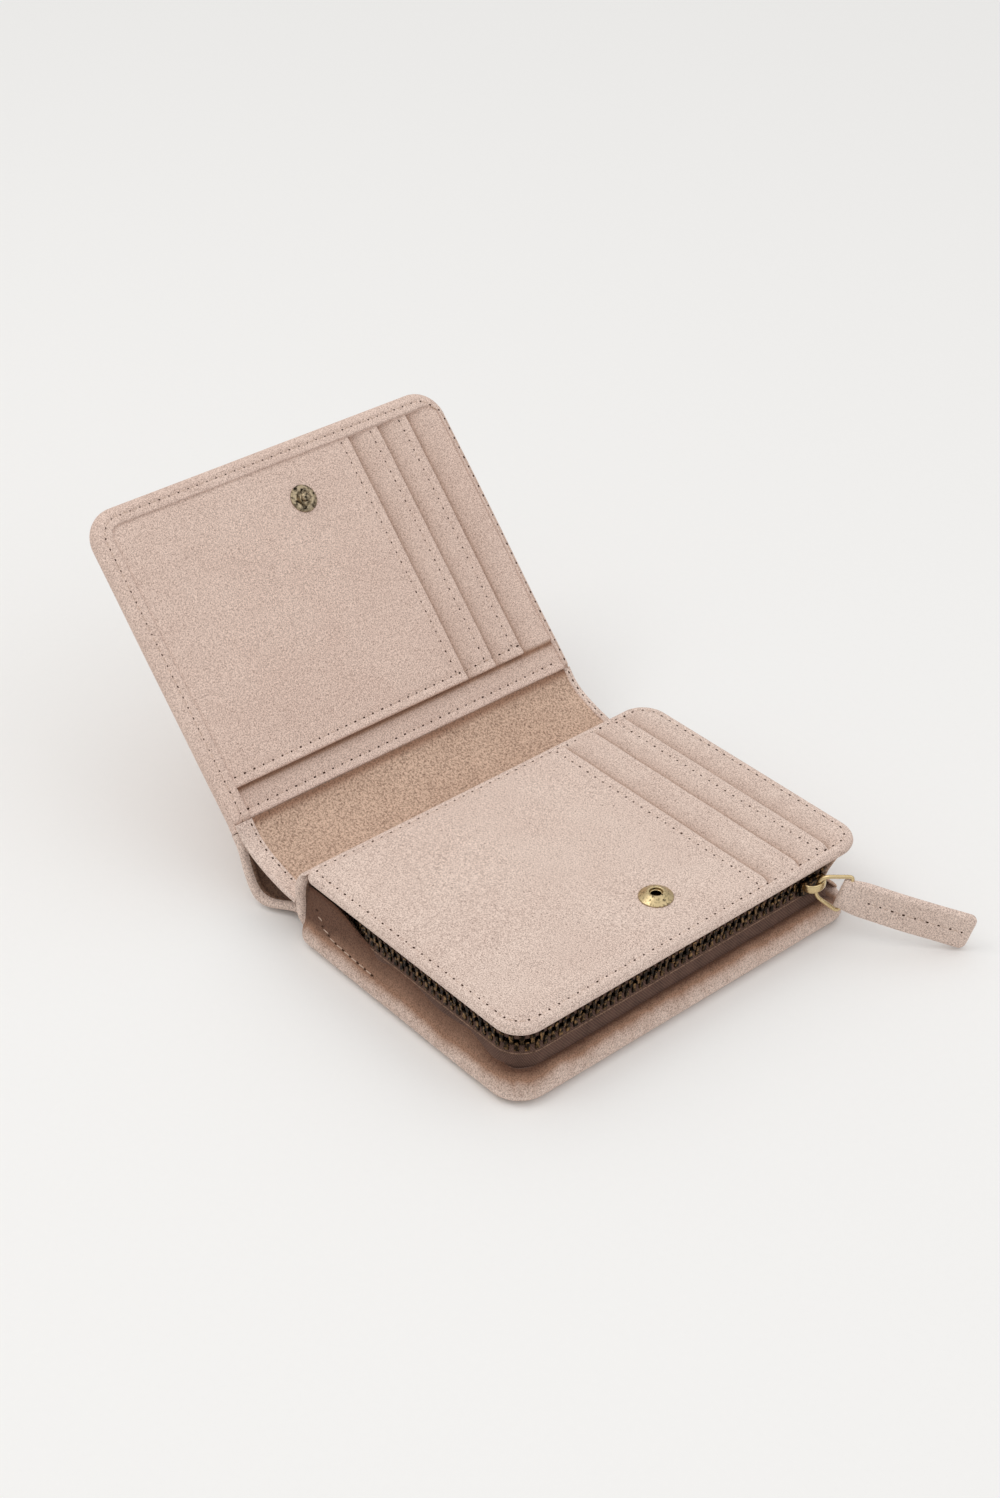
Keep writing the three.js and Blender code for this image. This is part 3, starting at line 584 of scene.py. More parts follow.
# How far in from an edge the grid lines lie, for a plain edge and for edges with more shape.
NEAR = (0, 0.12, 0.35, 0.7, 1.1, 1.6, 2.2, 2.8, 3.4, 4.2, 5.2)
NEAR_RIM = (0, 0.15, 0.4, 0.75, 1.1, 1.5, 1.9, *np.arange(2.2, 4.7, 0.3), 5.0, 5.5, 6.2, 7.0)
NEAR_HEM = (0, 0.15, 0.45, 0.9, 1.5, 2.1, 2.7, 3.0, 3.3, 3.9, 4.6, 5.3, 5.8, 6.1, 6.5, 7.2)
NEAR_SPINE = (0, 0.12, 0.35, 0.7, 1.1, 1.6, 2.2, 2.8, 3.4, 4.0, 4.6)
NEAR_BAND = (0, 0.12, 0.35, 0.7, 1.1, 1.6)
INNER_FROM = 2.0


def soft_piece(name, kind, rect, top, bottom, radii=(0, 0, 0, 0), edge=1.2, share=0.5, place=flat,
               near=NEAR, coarse=1.9, open_sides=(), shade=None, inner=None):
    """A soft layer as one closed mesh, rolled at its edges.

    top and bottom give its heights. share is how far up its thickness the two rolled faces meet.
    open_sides ("a0", "a1", "b0", "b1") aren't rolled, because the next piece carries on from them.
    shade gives how far the upper face is darkened with painted shade, from 0 to 1, and inner is another
    finish for that face, from INNER_FROM in.
    """
    x0, x1, y0, y1 = rect
    reach = 100
    rolled = (x0 - reach * ("a0" in open_sides), x1 + reach * ("a1" in open_sides),
              y0 - reach * ("b0" in open_sides), y1 + reach * ("b1" in open_sides))
    near_a = [n for n in near if n < (x1 - x0) * 0.4]
    near_b = [n for n in near if n < (y1 - y0) * 0.4]
    rows = grid_lines(y0, y1, near_b, max(2, round((y1 - y0 - 2 * near_b[-1]) / coarse)))
    count = max(2, round((x1 - x0 - 2 * near_a[-1]) / coarse))
    a = []
    for y in rows:
        insets = []
        for low, high in ((radii[0], radii[3]), (radii[1], radii[2])):
            up, down = max(0.0, low - (y - y0)), max(0.0, high - (y1 - y))
            r, past = (low, up) if up > 0 else (high, down)
            insets.append(r - math.sqrt(max(0.0, r * r - past * past)))
        a.append(grid_lines(x0 + insets[0], x1 - insets[1], near_a, count))
    a = np.array(a)
    b = np.repeat(rows[:, None], a.shape[1], 1)
    depth = np.maximum(depth_inside(a, b, rolled, radii), 0)
    high, low = top(a, b), bottom(a, b)
    thick = high - low
    high = high - roll(depth, edge, thick * (1 - share))
    low = low + roll(depth, edge * 0.8, thick * share)
    n, m = a.shape
    points = np.vstack([place(a, b, high).reshape(-1, 3), place(a, b, low).reshape(-1, 3)])
    index = np.arange(n * m).reshape(n, m)
    quads = np.stack([index[:-1, :-1], index[:-1, 1:], index[1:, 1:], index[1:, :-1]], -1).reshape(-1, 4)
    faces = [quads, quads[:, ::-1] + n * m]
    rim = np.concatenate([index[0, :], index[1:, -1], index[-1, -2::-1], index[-2:0:-1, 0]])
    after = np.roll(rim, -1)
    faces.append(np.stack([rim, rim + n * m, after + n * m, after], -1))
    dark = np.zeros(2 * n * m)
    if shade is not None:
        dark[:n * m] = np.clip(shade(a, b), 0, 1).reshape(-1)
    if inner is None:
        return new_piece(name, points, np.vstack(faces), [kind], shade=dark)
    middle = (depth[:-1, :-1] + depth[1:, 1:]).reshape(-1) / 2
    which = [int(d > INNER_FROM) for d in middle] + [0] * (len(quads) + len(rim))
    return new_piece(name, points, np.vstack(faces), [kind, inner], which, shade=dark)


def copies(template_points, template_faces, places):
    """Many copies of a small shape. Each place is an origin and three axes."""
    points, faces = [], []
    for k, (origin, axes) in enumerate(places):
        points.append(np.asarray(template_points) @ np.asarray(axes) + origin)
        faces += [[i + k * len(template_points) for i in f] for f in template_faces]
    return np.vstack(points), faces


def lozenge(sides, rings, sag):
    """A unit capsule along its first axis, with ends that dip by sag."""
    points, faces = [], []
    for i in range(rings + 1):
        u = -1 + 2 * i / rings
        r = math.sqrt(max(0.0, 1 - abs(u) ** 3))
        for j in range(sides):
            turn = 2 * math.pi * j / sides
            points.append((u, r * math.cos(turn), r * math.sin(turn) - sag * u ** 4))
    for i in range(rings):
        for j in range(sides):
            k = (j + 1) % sides
            faces.append([i * sides + j, i * sides + k, (i + 1) * sides + k, (i + 1) * sides + j])
    return np.array(points), faces


def stitch_row(name, paths, top, place, weight=1.0):
    """Rows of lockstitch: a thread that dips into a dark needle hole at each end."""
    sizes = bpy.context.scene.wallet_sizes
    pitch, half = sizes.stitch_pitch * 1000, sizes.thread * 500
    holes, threads = [], []
    rng = np.random.default_rng(len(paths) + len(name))
    for path in paths:
        line = np.asarray(path, float)
        along = np.concatenate([[0], np.cumsum(np.linalg.norm(np.diff(line, axis=0), axis=1))])
        count = max(1, round(along[-1] / pitch))
        stops = np.linspace(0, along[-1], count + 1)
        stops[1:-1] += rng.uniform(-0.12, 0.12, count - 1) if count > 1 else 0

        def frame_at(s):
            e = 0.3
            a, b = (np.interp(s, along, line[:, k]) for k in (0, 1))
            da, db = (np.interp(s + e, along, line[:, k]) - np.interp(s - e, along, line[:, k])
                      for k in (0, 1))
            t = float(top(np.array(a), np.array(b)))
            at = place(a, b, t)
            ahead = place(a + da, b + db, t) - at
            ahead = ahead / np.linalg.norm(ahead)
            up = place(a, b, t + 1) - at
            up = up / np.linalg.norm(up)
            return at, ahead, np.cross(up, ahead), up

        for s in stops:
            at, ahead, across, up = frame_at(s)
            holes.append((at - up * 0.08, [ahead * rng.uniform(0.42, 0.68) * weight,
                          across * rng.uniform(0.32, 0.46) * weight, up * 0.22]))
        for s, e in zip(stops[:-1], stops[1:]):
            at, ahead, across, up = frame_at((s + e) / 2)
            threads.append((at - up * half * 0.55, [ahead * (e - s) * 0.42, across * half, up * half]))
    bead, bead_faces = lozenge(8, 4, 0.0)
    strand, strand_faces = lozenge(6, 8, 0.8)
    hole_points, hole_faces = copies(bead, bead_faces, holes)
    thread_points, thread_faces = copies(strand, strand_faces, threads)
    faces = thread_faces + [[i + len(thread_points) for i in f] for f in hole_faces]
    index = [0] * len(thread_faces) + [1] * len(hole_faces)
    return new_piece(name, np.vstack([thread_points, hole_points]), faces, [THREAD, HOLE], index)


def rounded_path(rect, radii, inset, start=0, stop=4):
    """A line along a rounded rectangle's sides, at an inset. They are low b, high a, high b and low a."""
    x0, x1, y0, y1 = rect[0] + inset, rect[1] - inset, rect[2] + inset, rect[3] - inset
    corners = [(x0, y0), (x1, y0), (x1, y1), (x0, y1)]
    spin = [(1, 1), (-1, 1), (-1, -1), (1, -1)]
    arcs = []
    for k in range(4):
        r = max(0.05, radii[k] - inset)
        cx, cy = corners[k][0] + spin[k][0] * r, corners[k][1] + spin[k][1] * r
        first = math.pi + k * math.pi / 2
        arcs.append([(cx + r * math.cos(first + u * math.pi / 2), cy + r * math.sin(first + u * math.pi / 2))
                     for u in np.linspace(0, 1, 9)])
    line = []
    for side in range(start, stop):
        line += arcs[side % 4][4:] + arcs[(side + 1) % 4][:5]
    return line


def turned(name, kind, profile, segments, origin, axes):
    """A profile of (radius, height) turned about the third axis, with its ends closed on the axis."""
    points, faces = [], []
    for r, z in profile:
        for j in range(segments):
            turn = 2 * math.pi * j / segments
            points.append((r * math.cos(turn), r * math.sin(turn), z))
    for i in range(len(profile) - 1):
        for j in range(segments):
            k = (j + 1) % segments
            faces.append([i * segments + j, i * segments + k, (i + 1) * segments + k, (i + 1) * segments + j])
    points = np.array(points) @ np.asarray(axes) + origin
    return new_piece(name, points, faces, [kind])


def swept(name, kind, stations, section, closed=False):
    """A closed section carried along stations, each an origin, an out direction and an up direction."""
    points, faces = [], []
    n = len(section)
    for origin, out, up in stations:
        for p, q in section:
            points.append(np.asarray(origin) + p * np.asarray(out) + q * np.asarray(up))
    last = len(stations) if closed else len(stations) - 1
    for i in range(last):
        k = (i + 1) % len(stations)
        for j in range(n):
            m = (j + 1) % n
            faces.append([i * n + j, i * n + m, k * n + m, k * n + j])
    if not closed:
        faces.append(list(range(n)))
        faces.append([len(points) - 1 - j for j in range(n)])
    return new_piece(name, np.array(points), faces, [kind])


def ellipse(wide, tall, sides):
    """A closed section."""
    turns = np.linspace(0, 2 * math.pi, sides, endpoint=False)
    return [(wide * math.cos(turn), tall * math.sin(turn)) for turn in turns]


def bevelled(outline, low, high, bevel, segments):
    """The points and faces of an outline given depth, with its edges rounded."""
    work = bmesh.new()
    verts = [work.verts.new((p[0], p[1], low)) for p in outline]
    face = work.faces.new(verts)
    grown = bmesh.ops.extrude_face_region(work, geom=[face])
    moved = [g for g in grown["geom"] if isinstance(g, bmesh.types.BMVert)]
    bmesh.ops.translate(work, verts=moved, vec=(0, 0, high - low))
    sharp = [e for e in work.edges if len(e.link_faces) == 2 and e.calc_face_angle(0) > 0.6]
    bmesh.ops.bevel(work, geom=sharp, offset=bevel, segments=segments, profile=0.5, affect="EDGES",
                    clamp_overlap=True)
    work.verts.index_update()
    points = np.array([v.co[:] for v in work.verts])
    faces = [[v.index for v in f.verts] for f in work.faces]
    work.free()
    return points, faces


def mount(piece, body, *nodes):
    """The piece rides on a body and stands for its CAD nodes."""
    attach(piece, body)
    if nodes:
        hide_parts(*nodes)
    return piece


# ---- Heights of the lid, the base and the page ----


def softness():
    """How far soft surfaces wander from flat, in millimetres."""
    return bpy.context.scene.wallet_sizes.softness * 1000


def lid_face(level):
    """The height of a lid layer: pressed down by the stitches near the edge, and full in the middle."""
    top = LID_HIGH[2]

    def height(a, b):
        depth = depth_inside(a, b, LID_RECT, LID_ROUND)
        rim = top - 0.75 - roll(np.maximum(depth, 0), 2.8, 2.1)
        seam = 0.4 * swell(depth, 2.8, 0.8)
        full = level + softness() * (wander(a, b, 27, 3) * 0.7 + wander(a, b, 11, 5) * 0.3)
        return rim + (full - rim) * ease((depth - 2.2) / 3.0) - seam

    return height


def page_face(level):
    """The height of a page layer, with a slow unevenness."""
    def height(a, b):
        return level + softness() * (wander(a, b, 30, 11) * 0.6 + wander(a, b, 12, 13) * 0.25)
    return height


def tucked(points):
    """By the pouch's corner next to the spine, the outer cover is drawn in and lifts off the table."""
    x, y = points[..., 0], points[..., 1]
    share = ease((x + 69) / 16) * ease((-43.5 - x) / 7) * ease((-50 - y) / 19)
    points[..., 1] = y + TUCK_IN * share
    points[..., 2] = points[..., 2] + TUCK_UP * share
    return points


def swell(value, middle, wide):
    """A smooth rise to 1 at the middle: a folded edge, or turned over, a row of stitches."""
    return np.exp(-((value - middle) / wide) ** 2)


def chain(distances=None, count=220):
    """Stations along the middle of the zip's teeth, and its length. It runs along the side of the pouch,
    where it sinks in towards its start, and round to the free edge."""
    x0 = TEETH_LOW[0]
    chain_x = TEETH_HIGH[0] - 0.9
    chain_y = TEETH_LOW[1] + 0.9
    y1 = TAPE_HIGH[1]
    r = CHAIN_CORNER
    side = chain_x - r - x0
    arc = r * math.pi / 2
    total = side + arc + (y1 - chain_y - r)
    stations = []
    for d in np.linspace(0, total, count) if distances is None else distances:
        if d < side:
            x, y, nx, ny = x0 + d, chain_y, 0.0, -1.0
            y += SINK * float(ease((SINK_FROM - x) / (SINK_FROM - x0)))
        elif d < side + arc:
            turn = -math.pi / 2 + (d - side) / r
            x, y = chain_x - r + r * math.cos(turn), chain_y + r + r * math.sin(turn)
            nx, ny = math.cos(turn), math.sin(turn)
        else:
            x, y, nx, ny = chain_x, chain_y + r + (d - side - arc), 1.0, 0.0
        stations.append((np.array([x, y, 0.0]), np.array([nx, ny, 0.0]), np.array([0.0, 0.0, 1.0])))
    return stations, total


# ---- Operators ----


class WALLET_OT_stage(bpy.types.Operator):
    """Make the floor, the studio lights and the camera"""

    bl_idname = "wallet.stage"
    bl_label = "Stage"

    def execute(self, context):
        floor = new_piece(
            "floor", [(-4000, -4000, -0.02), (4000, -4000, -0.02), (4000, 4000, -0.02), (-4000, 4000, -0.02)],
            [[0, 1, 2, 3]], [PAPER])

        world = bpy.data.worlds.new("studio")
        context.scene.world = world
        world.use_nodes = True
        tree = world.node_tree
        tree.nodes.clear()
        where = add_node(tree, "ShaderNodeTexCoord").outputs["Generated"]
        height = add_node(tree, "ShaderNodeSeparateXYZ", {"Vector": where}).outputs["Z"]
        glow = add_node(tree, "ShaderNodeMapRange", {
            "Value": height, "From Min": 0.05, "From Max": 0.9, "To Min": 0.5, "To Max": 1.12},
            interpolation_type="SMOOTHSTEP")
        air = add_node(tree, "ShaderNodeBackground", {
            "Color": rgba(linear("#F5F5F5")), "Strength": glow.outputs["Result"]})
        add_node(tree, "ShaderNodeOutputWorld", {"Surface": air.outputs["Background"]})

        for name, place, size, power, colour in (
                ("key", (-0.35, -0.55, 1.15), 0.6, 2.6, "#FFFDFB"),
                ("fill", (0.9, 0.3, 0.8), 0.9, 1.2, "#F6F8FF")):
            lamp = bpy.data.lights.new(name, "AREA")
            lamp.shape = "SQUARE"
            lamp.size = size
            lamp.energy = power
            lamp.color = linear(colour)
            holder = bpy.data.objects.new(name, lamp)
            holder.location = place
            aim = Vector((-0.02, 0.0, 0.02)) - Vector(place)
            holder.rotation_euler = aim.to_track_quat("-Z", "Y").to_euler()
            context.scene.collection.objects.link(holder)

        view = bpy.data.cameras.new("camera")
        view.lens = 58.57
        view.sensor_width = 36
        view.clip_start = 0.01
        holder = bpy.data.objects.new("camera", view)
        holder.location = (0.4038, -0.3790, 0.4499)
        holder.rotation_euler = (math.radians(90 - 35.1), 0, math.radians(49.38))
        context.scene.collection.objects.link(holder)
        context.scene.camera = holder
        context.scene.view_settings.view_transform = "Standard"
        return {"FINISHED"}


class WALLET_OT_base(bpy.types.Operator):
    """Make the outer back cover and the suede bottom of the pouch"""

    bl_idname = "wallet.base"
    bl_label = "Back cover and pouch bottom"

    def execute(self, context):
        rect = (FOLD[0] + 0.2, COVER_HIGH[0], *COVER_Y)
        radii = (0, 10, 10, 0)

        def cover_top(a, b):
            thin = ease((LID_LOW[0] + 1.5 - a) / 6.0)
            return 3.6 - 2.1 * thin + softness() * 0.4 * wander(a, b, 23, 21)

        def drawn_in(a, b, t):
            """The cover's edge is hidden below the rolled rim of the pouch."""
            inset = 1.7 * ease((a - LID_LOW[0] + 2) / 6)
            half_width = (COVER_Y[1] - COVER_Y[0]) / 2 + 3.25
            return tucked(flat(a - inset * ease(a / 40), b * (1 - inset / half_width), t))

        cover = soft_piece("back_cover_suede", COVER, rect, cover_top, lambda a, b: 0 * a, radii,
                           edge=1.5, share=0.5, open_sides=("a0",), place=drawn_in)
        mount(cover, "base", "back_cover")
        board = soft_piece("back_board", BOARD, (LID_LOW[0], BOARD_HIGH[0], BOARD_LOW[1], BOARD_HIGH[1]),
                           lambda a, b: BOARD_HIGH[2] + 0 * a, lambda a, b: BOARD_LOW[2] + 0 * a,
                           (9, 9, 9, 2), edge=0.1, place=drawn_in, coarse=6)
        mount(board, "base", "back_stiffener")

        rect = (LID_LOW[0] - 1.1, COVER_HIGH[0] + 0.3, COVER_Y[0] - 0.2, COVER_Y[1] + 0.2)
        radii = (5.5, 10.3, 10.3, 6)
        outward = (rect[0] - 100, rect[1], rect[2], rect[3] + 100)
        level = LINING_LOW[2]

        def bottom_top(a, b):
            """A full rolled rim. On the side it climbs to the zip, and closes the corner by the spine."""
            depth = depth_inside(a, b, outward, radii)
            closed = SIDE_TOP + (CORNER_TOP - SIDE_TOP) * ease((SINK_FROM - a) / 22)
            side = np.interp(depth, (1.2, 2.0, 2.7, 3.3, 3.9, 4.3, 4.8, 5.8),
                             (0, 0.5, 1.8, 3.7, 5.7, 6.8, 6.8, 0))
            side = side * (closed - level) / 6.8
            front = np.interp(depth, (0, 1.5, 3.0, 4.2, 5.2), (2.2, 2.7, 3.0, 2.9, 0))
            turn = ease((a - 26) / 18)
            ridge_top = (side * (1 - turn) + front * turn) * (1 - ease((b - 50) / 5))
            seam = 0.5 * swell(depth, 2.1, 0.4) * (1 - turn) * ease((b + 75) / 2)
            lumps = softness() * (1.0 * wander(a, b, 17, 23) + 0.5 * wander(a, b, 6, 24))
            return level + ridge_top - seam + lumps

        def painted_shade(a, b):
            """Painted shade: nearly none on the rim, brown up its side, and dark in the hollow between it and
            the zip.
            """
            depth = depth_inside(a, b, outward, radii)
            depth = depth + 0.3 * wander(a, b, 9, 25) + 0.22 * wander(a, b, 1.1, 27)
            side = np.interp(depth, (0.2, 1.1, 1.9, 2.5, 2.9, 3.7, 4.1),
                             (0.12, 0.36, 0.56, 0.68, 0.8, 0.93, 1.0))
            side = side + 0.35 * ease((-18 - a) / 22) * ease((depth - 1.8) / 1.2)
            front = np.interp(depth, (-0.2, 0.5, 1.0, 1.8, 2.7, 3.2), (0.04, 0.2, 0.42, 0.7, 0.95, 1.0))
            turn = ease((a - 26) / 18)
            return (side * (1 - turn) + front * turn) * (1 - ease((b - 53) / 6))

        bottom = soft_piece("pouch_bottom_suede", COVER, rect, bottom_top, lambda a, b: 0.9 + 0 * a, radii,
                            edge=3.0, share=0.38, shade=painted_shade, near=NEAR_RIM, coarse=1.6)
        mount(bottom, "base", "pouch_bottom")

        path = [(-40.5, rect[2] + 3.3), (-37, rect[2] + 2.6), (-32, rect[2] + 2.2), (-14, rect[2] + 2.1)]
        row = stitch_row("pouch_bottom_stitches", [path], bottom_top, flat)
        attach(row, "base")
        return {"FINISHED"}


class WALLET_OT_pouch(bpy.types.Operator):
    """Make the linings, the side gusset and the end wall of the coin pouch"""

    bl_idname = "wallet.pouch"
    bl_label = "Inside of the pouch"

    def execute(self, context):
        low, high = LINING_LOW, LINING_HIGH
        floor = soft_piece(
            "pouch_floor_cloth", LINING, (low[0], high[0], low[1], high[1]),
            lambda a, b: high[2] + 0.15 * wander(a, b, 14, 31), lambda a, b: low[2] + 0 * a,
            (0, 4, 0, 0), edge=0.4, coarse=3)
        mount(floor, "base", "pouch_floor_lining")
        low, high = CEILING_LOW, CEILING_HIGH
        ceiling = soft_piece(
            "lid_lining_cloth", LINING, (low[0], high[0], low[1], high[1]),
            lambda a, b: high[2] + 0 * a, lambda a, b: low[2] - 0.15 * np.abs(wander(a, b, 14, 33)),
            (0, 4, 0, 0), edge=0.4, coarse=3)
        mount(ceiling, "pouch_lid", "lid_lining")

        place, total = along_curve([
            (-46.4, 1.7), (-47.3, 3.6), (-48.1, 7.0), (-48.7, 11.0), (-48.9, 15.0), (-48.6, 18.6),
            (-47.9, 21.6), (-46.9, 23.4), (-45.7, 24.1), (-44.6, 24.3)])

        def tapered(a, b, t):
            """The wall's ends are drawn in towards the base and the lid."""
            found = place(a, b, t)
            low = 1 - ease((a - 1) / 7)
            high = ease((a - total + 6) / 6)
            found[..., 1] += np.where(b < 0, 1.6 * low + 1.4 * high, -0.8 * low) * ease(np.abs(b) / 30)
            return found

        def wall_inside(a, b):
            thin = 1 - 0.85 * ease((a - total + 5) / 5)
            return 3.0 * thin + softness() * 0.5 * wander(a, b, 15, 35)

        # From INNER_FROM in, the wall's inside is the suede's back: its dark colour is partly real and partly
        # painted shade in the hollow.
        wall = soft_piece(
            "end_wall_suede", SUEDE, (0, total, COVER_Y[0] + 1.0, BOTTOM_HIGH[1] + 0.2),
            wall_inside, lambda a, b: softness() * 0.5 * wander(a, b, 15, 35),
            edge=1.7, place=tapered, coarse=1.6, inner=BACK)
        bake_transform(wall)
        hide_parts("pouch_end_wall")

        fold, even = smooth_curve([
            (59.6, 7.2), (58.6, 8.6), (55.0, 12.4), (53.9, 14.4), (55.2, 16.6), (59.4, 19.8), (60.6, 20.9)])
        slope = np.gradient(fold, axis=0)
        slope /= np.linalg.norm(slope, axis=1)[:, None]

        def pleat(a, b, t):
            y, z = (np.interp(b, even, fold[:, k]) for k in (0, 1))
            dy, dz = (np.interp(b, even, slope[:, k]) for k in (0, 1))
            return flat(a, y + dz * t, z - dy * t)

        gusset = soft_piece(
            "side_gusset", LINER, (GUSSET_LOW[0], GUSSET_HIGH[0] + 4, 0, even[-1]),
            lambda a, b: 0.9 + 0.3 * wander(a, b, 17, 37), lambda a, b: 0.3 * wander(a, b, 17, 37),
            edge=0.5, place=pleat, coarse=2.4)
        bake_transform(gusset)
        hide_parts("pouch_gusset")
        return {"FINISHED"}


class WALLET_OT_zip(bpy.types.Operator):
    """Make the zip's tapes, teeth and stops"""

    bl_idname = "wallet.zip"
    bl_label = "Zip"

    def execute(self, context):
        stations, total = chain()
        foot = TAPE_LOW[2] + 0.2
        head = TEETH_HIGH[2] - 0.6
        section = [(-4.6, foot), (1.2, foot), (1.75, foot + 1.4), (1.7, foot + 2.8), (1.35, foot + 4.6),
                   (0.95, foot + 6.3), (0.5, head - 1.5), (0.3, head), (-0.3, head), (-0.3, head - 1.6),
                   (0.4, foot + 4.6), (0.6, foot + 1.6), (-0.5, foot + 0.7), (-4.6, foot + 0.6)]
        lower = swept("lower_tape", TAPE, stations, section)
        mount(lower, "base", "lower_zip_tape")
        high = UPPER_HIGH[2] + 1.0
        section = [(-4.6, high), (-4.6, high - 0.6), (-0.3, high - 0.7), (-0.3, UPPER_LOW[2] + 0.4),
                   (0.3, UPPER_LOW[2] + 0.4), (0.5, high - 0.7), (0.6, high)]
        upper = swept("upper_tape", TAPE, stations, section)
        mount(upper, "pouch_lid", "upper_zip_tape")

        # A tan edge of suede shows as a thin line where the tape is sewn in below the teeth.
        section = [(0.82 + p, foot + 6.6 + q) for p, q in ellipse(0.24, 0.2, 8)]
        cord = swept("tape_edge_cord", BACK, stations[6:], section)
        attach(cord, "base")

        pitch = context.scene.wallet_sizes.tooth_pitch * 1000
        outline = [(-0.72, 0.0), (0.72, 0.0), (0.7, 1.2), (0.5, 1.55), (0.56, 2.7), (0.38, 3.0),
                   (-0.38, 3.0), (-0.56, 2.7), (-0.5, 1.55), (-0.7, 1.2)]
        points, faces = bevelled(outline, -0.95, 0.95, 0.12, 1)
        first, last = 3.0, total - 3.2
        for name, body, node, base_z, way, shift in (
                ("lower_teeth", "base", "lower_zip_teeth", TEETH_LOW[2] - 0.7, 1, 0.0),
                ("upper_teeth", "pouch_lid", "upper_zip_teeth", UPPER_HIGH[2] + 0.15, -1, 0.5)):
            at = np.arange(first + shift * pitch, last, pitch)
            spots = []
            for origin, out, up in chain(at)[0]:
                along = np.cross(up, out)
                spots.append((origin + up * base_z, [along, up * way, out]))
            made, made_faces = copies(points, faces, spots)
            row = new_piece(name, made, made_faces, [TEETH], smooth=False)
            mount(row, body, node)

        for node, body in (("zip_top_stop_lower", "base"), ("zip_top_stop_upper", "pouch_lid"),
                           ("zip_bottom_stop", "base")):
            low, high = box_mm(node)
            if node == "zip_bottom_stop":
                start = chain([0.6])[0][0][0]
                shift = (0, start[1] - (low[1] + high[1]) / 2, 0)
                low, high = low + shift, high + shift
            outline = [(low[0], low[1]), (high[0], low[1]), (high[0], high[1]), (low[0], high[1])]
            points, faces = bevelled(outline, low[2], high[2], 0.3, 3)
            mount(new_piece(node + "_clamp", points, faces, [TEETH]), body, node)
        return {"FINISHED"}


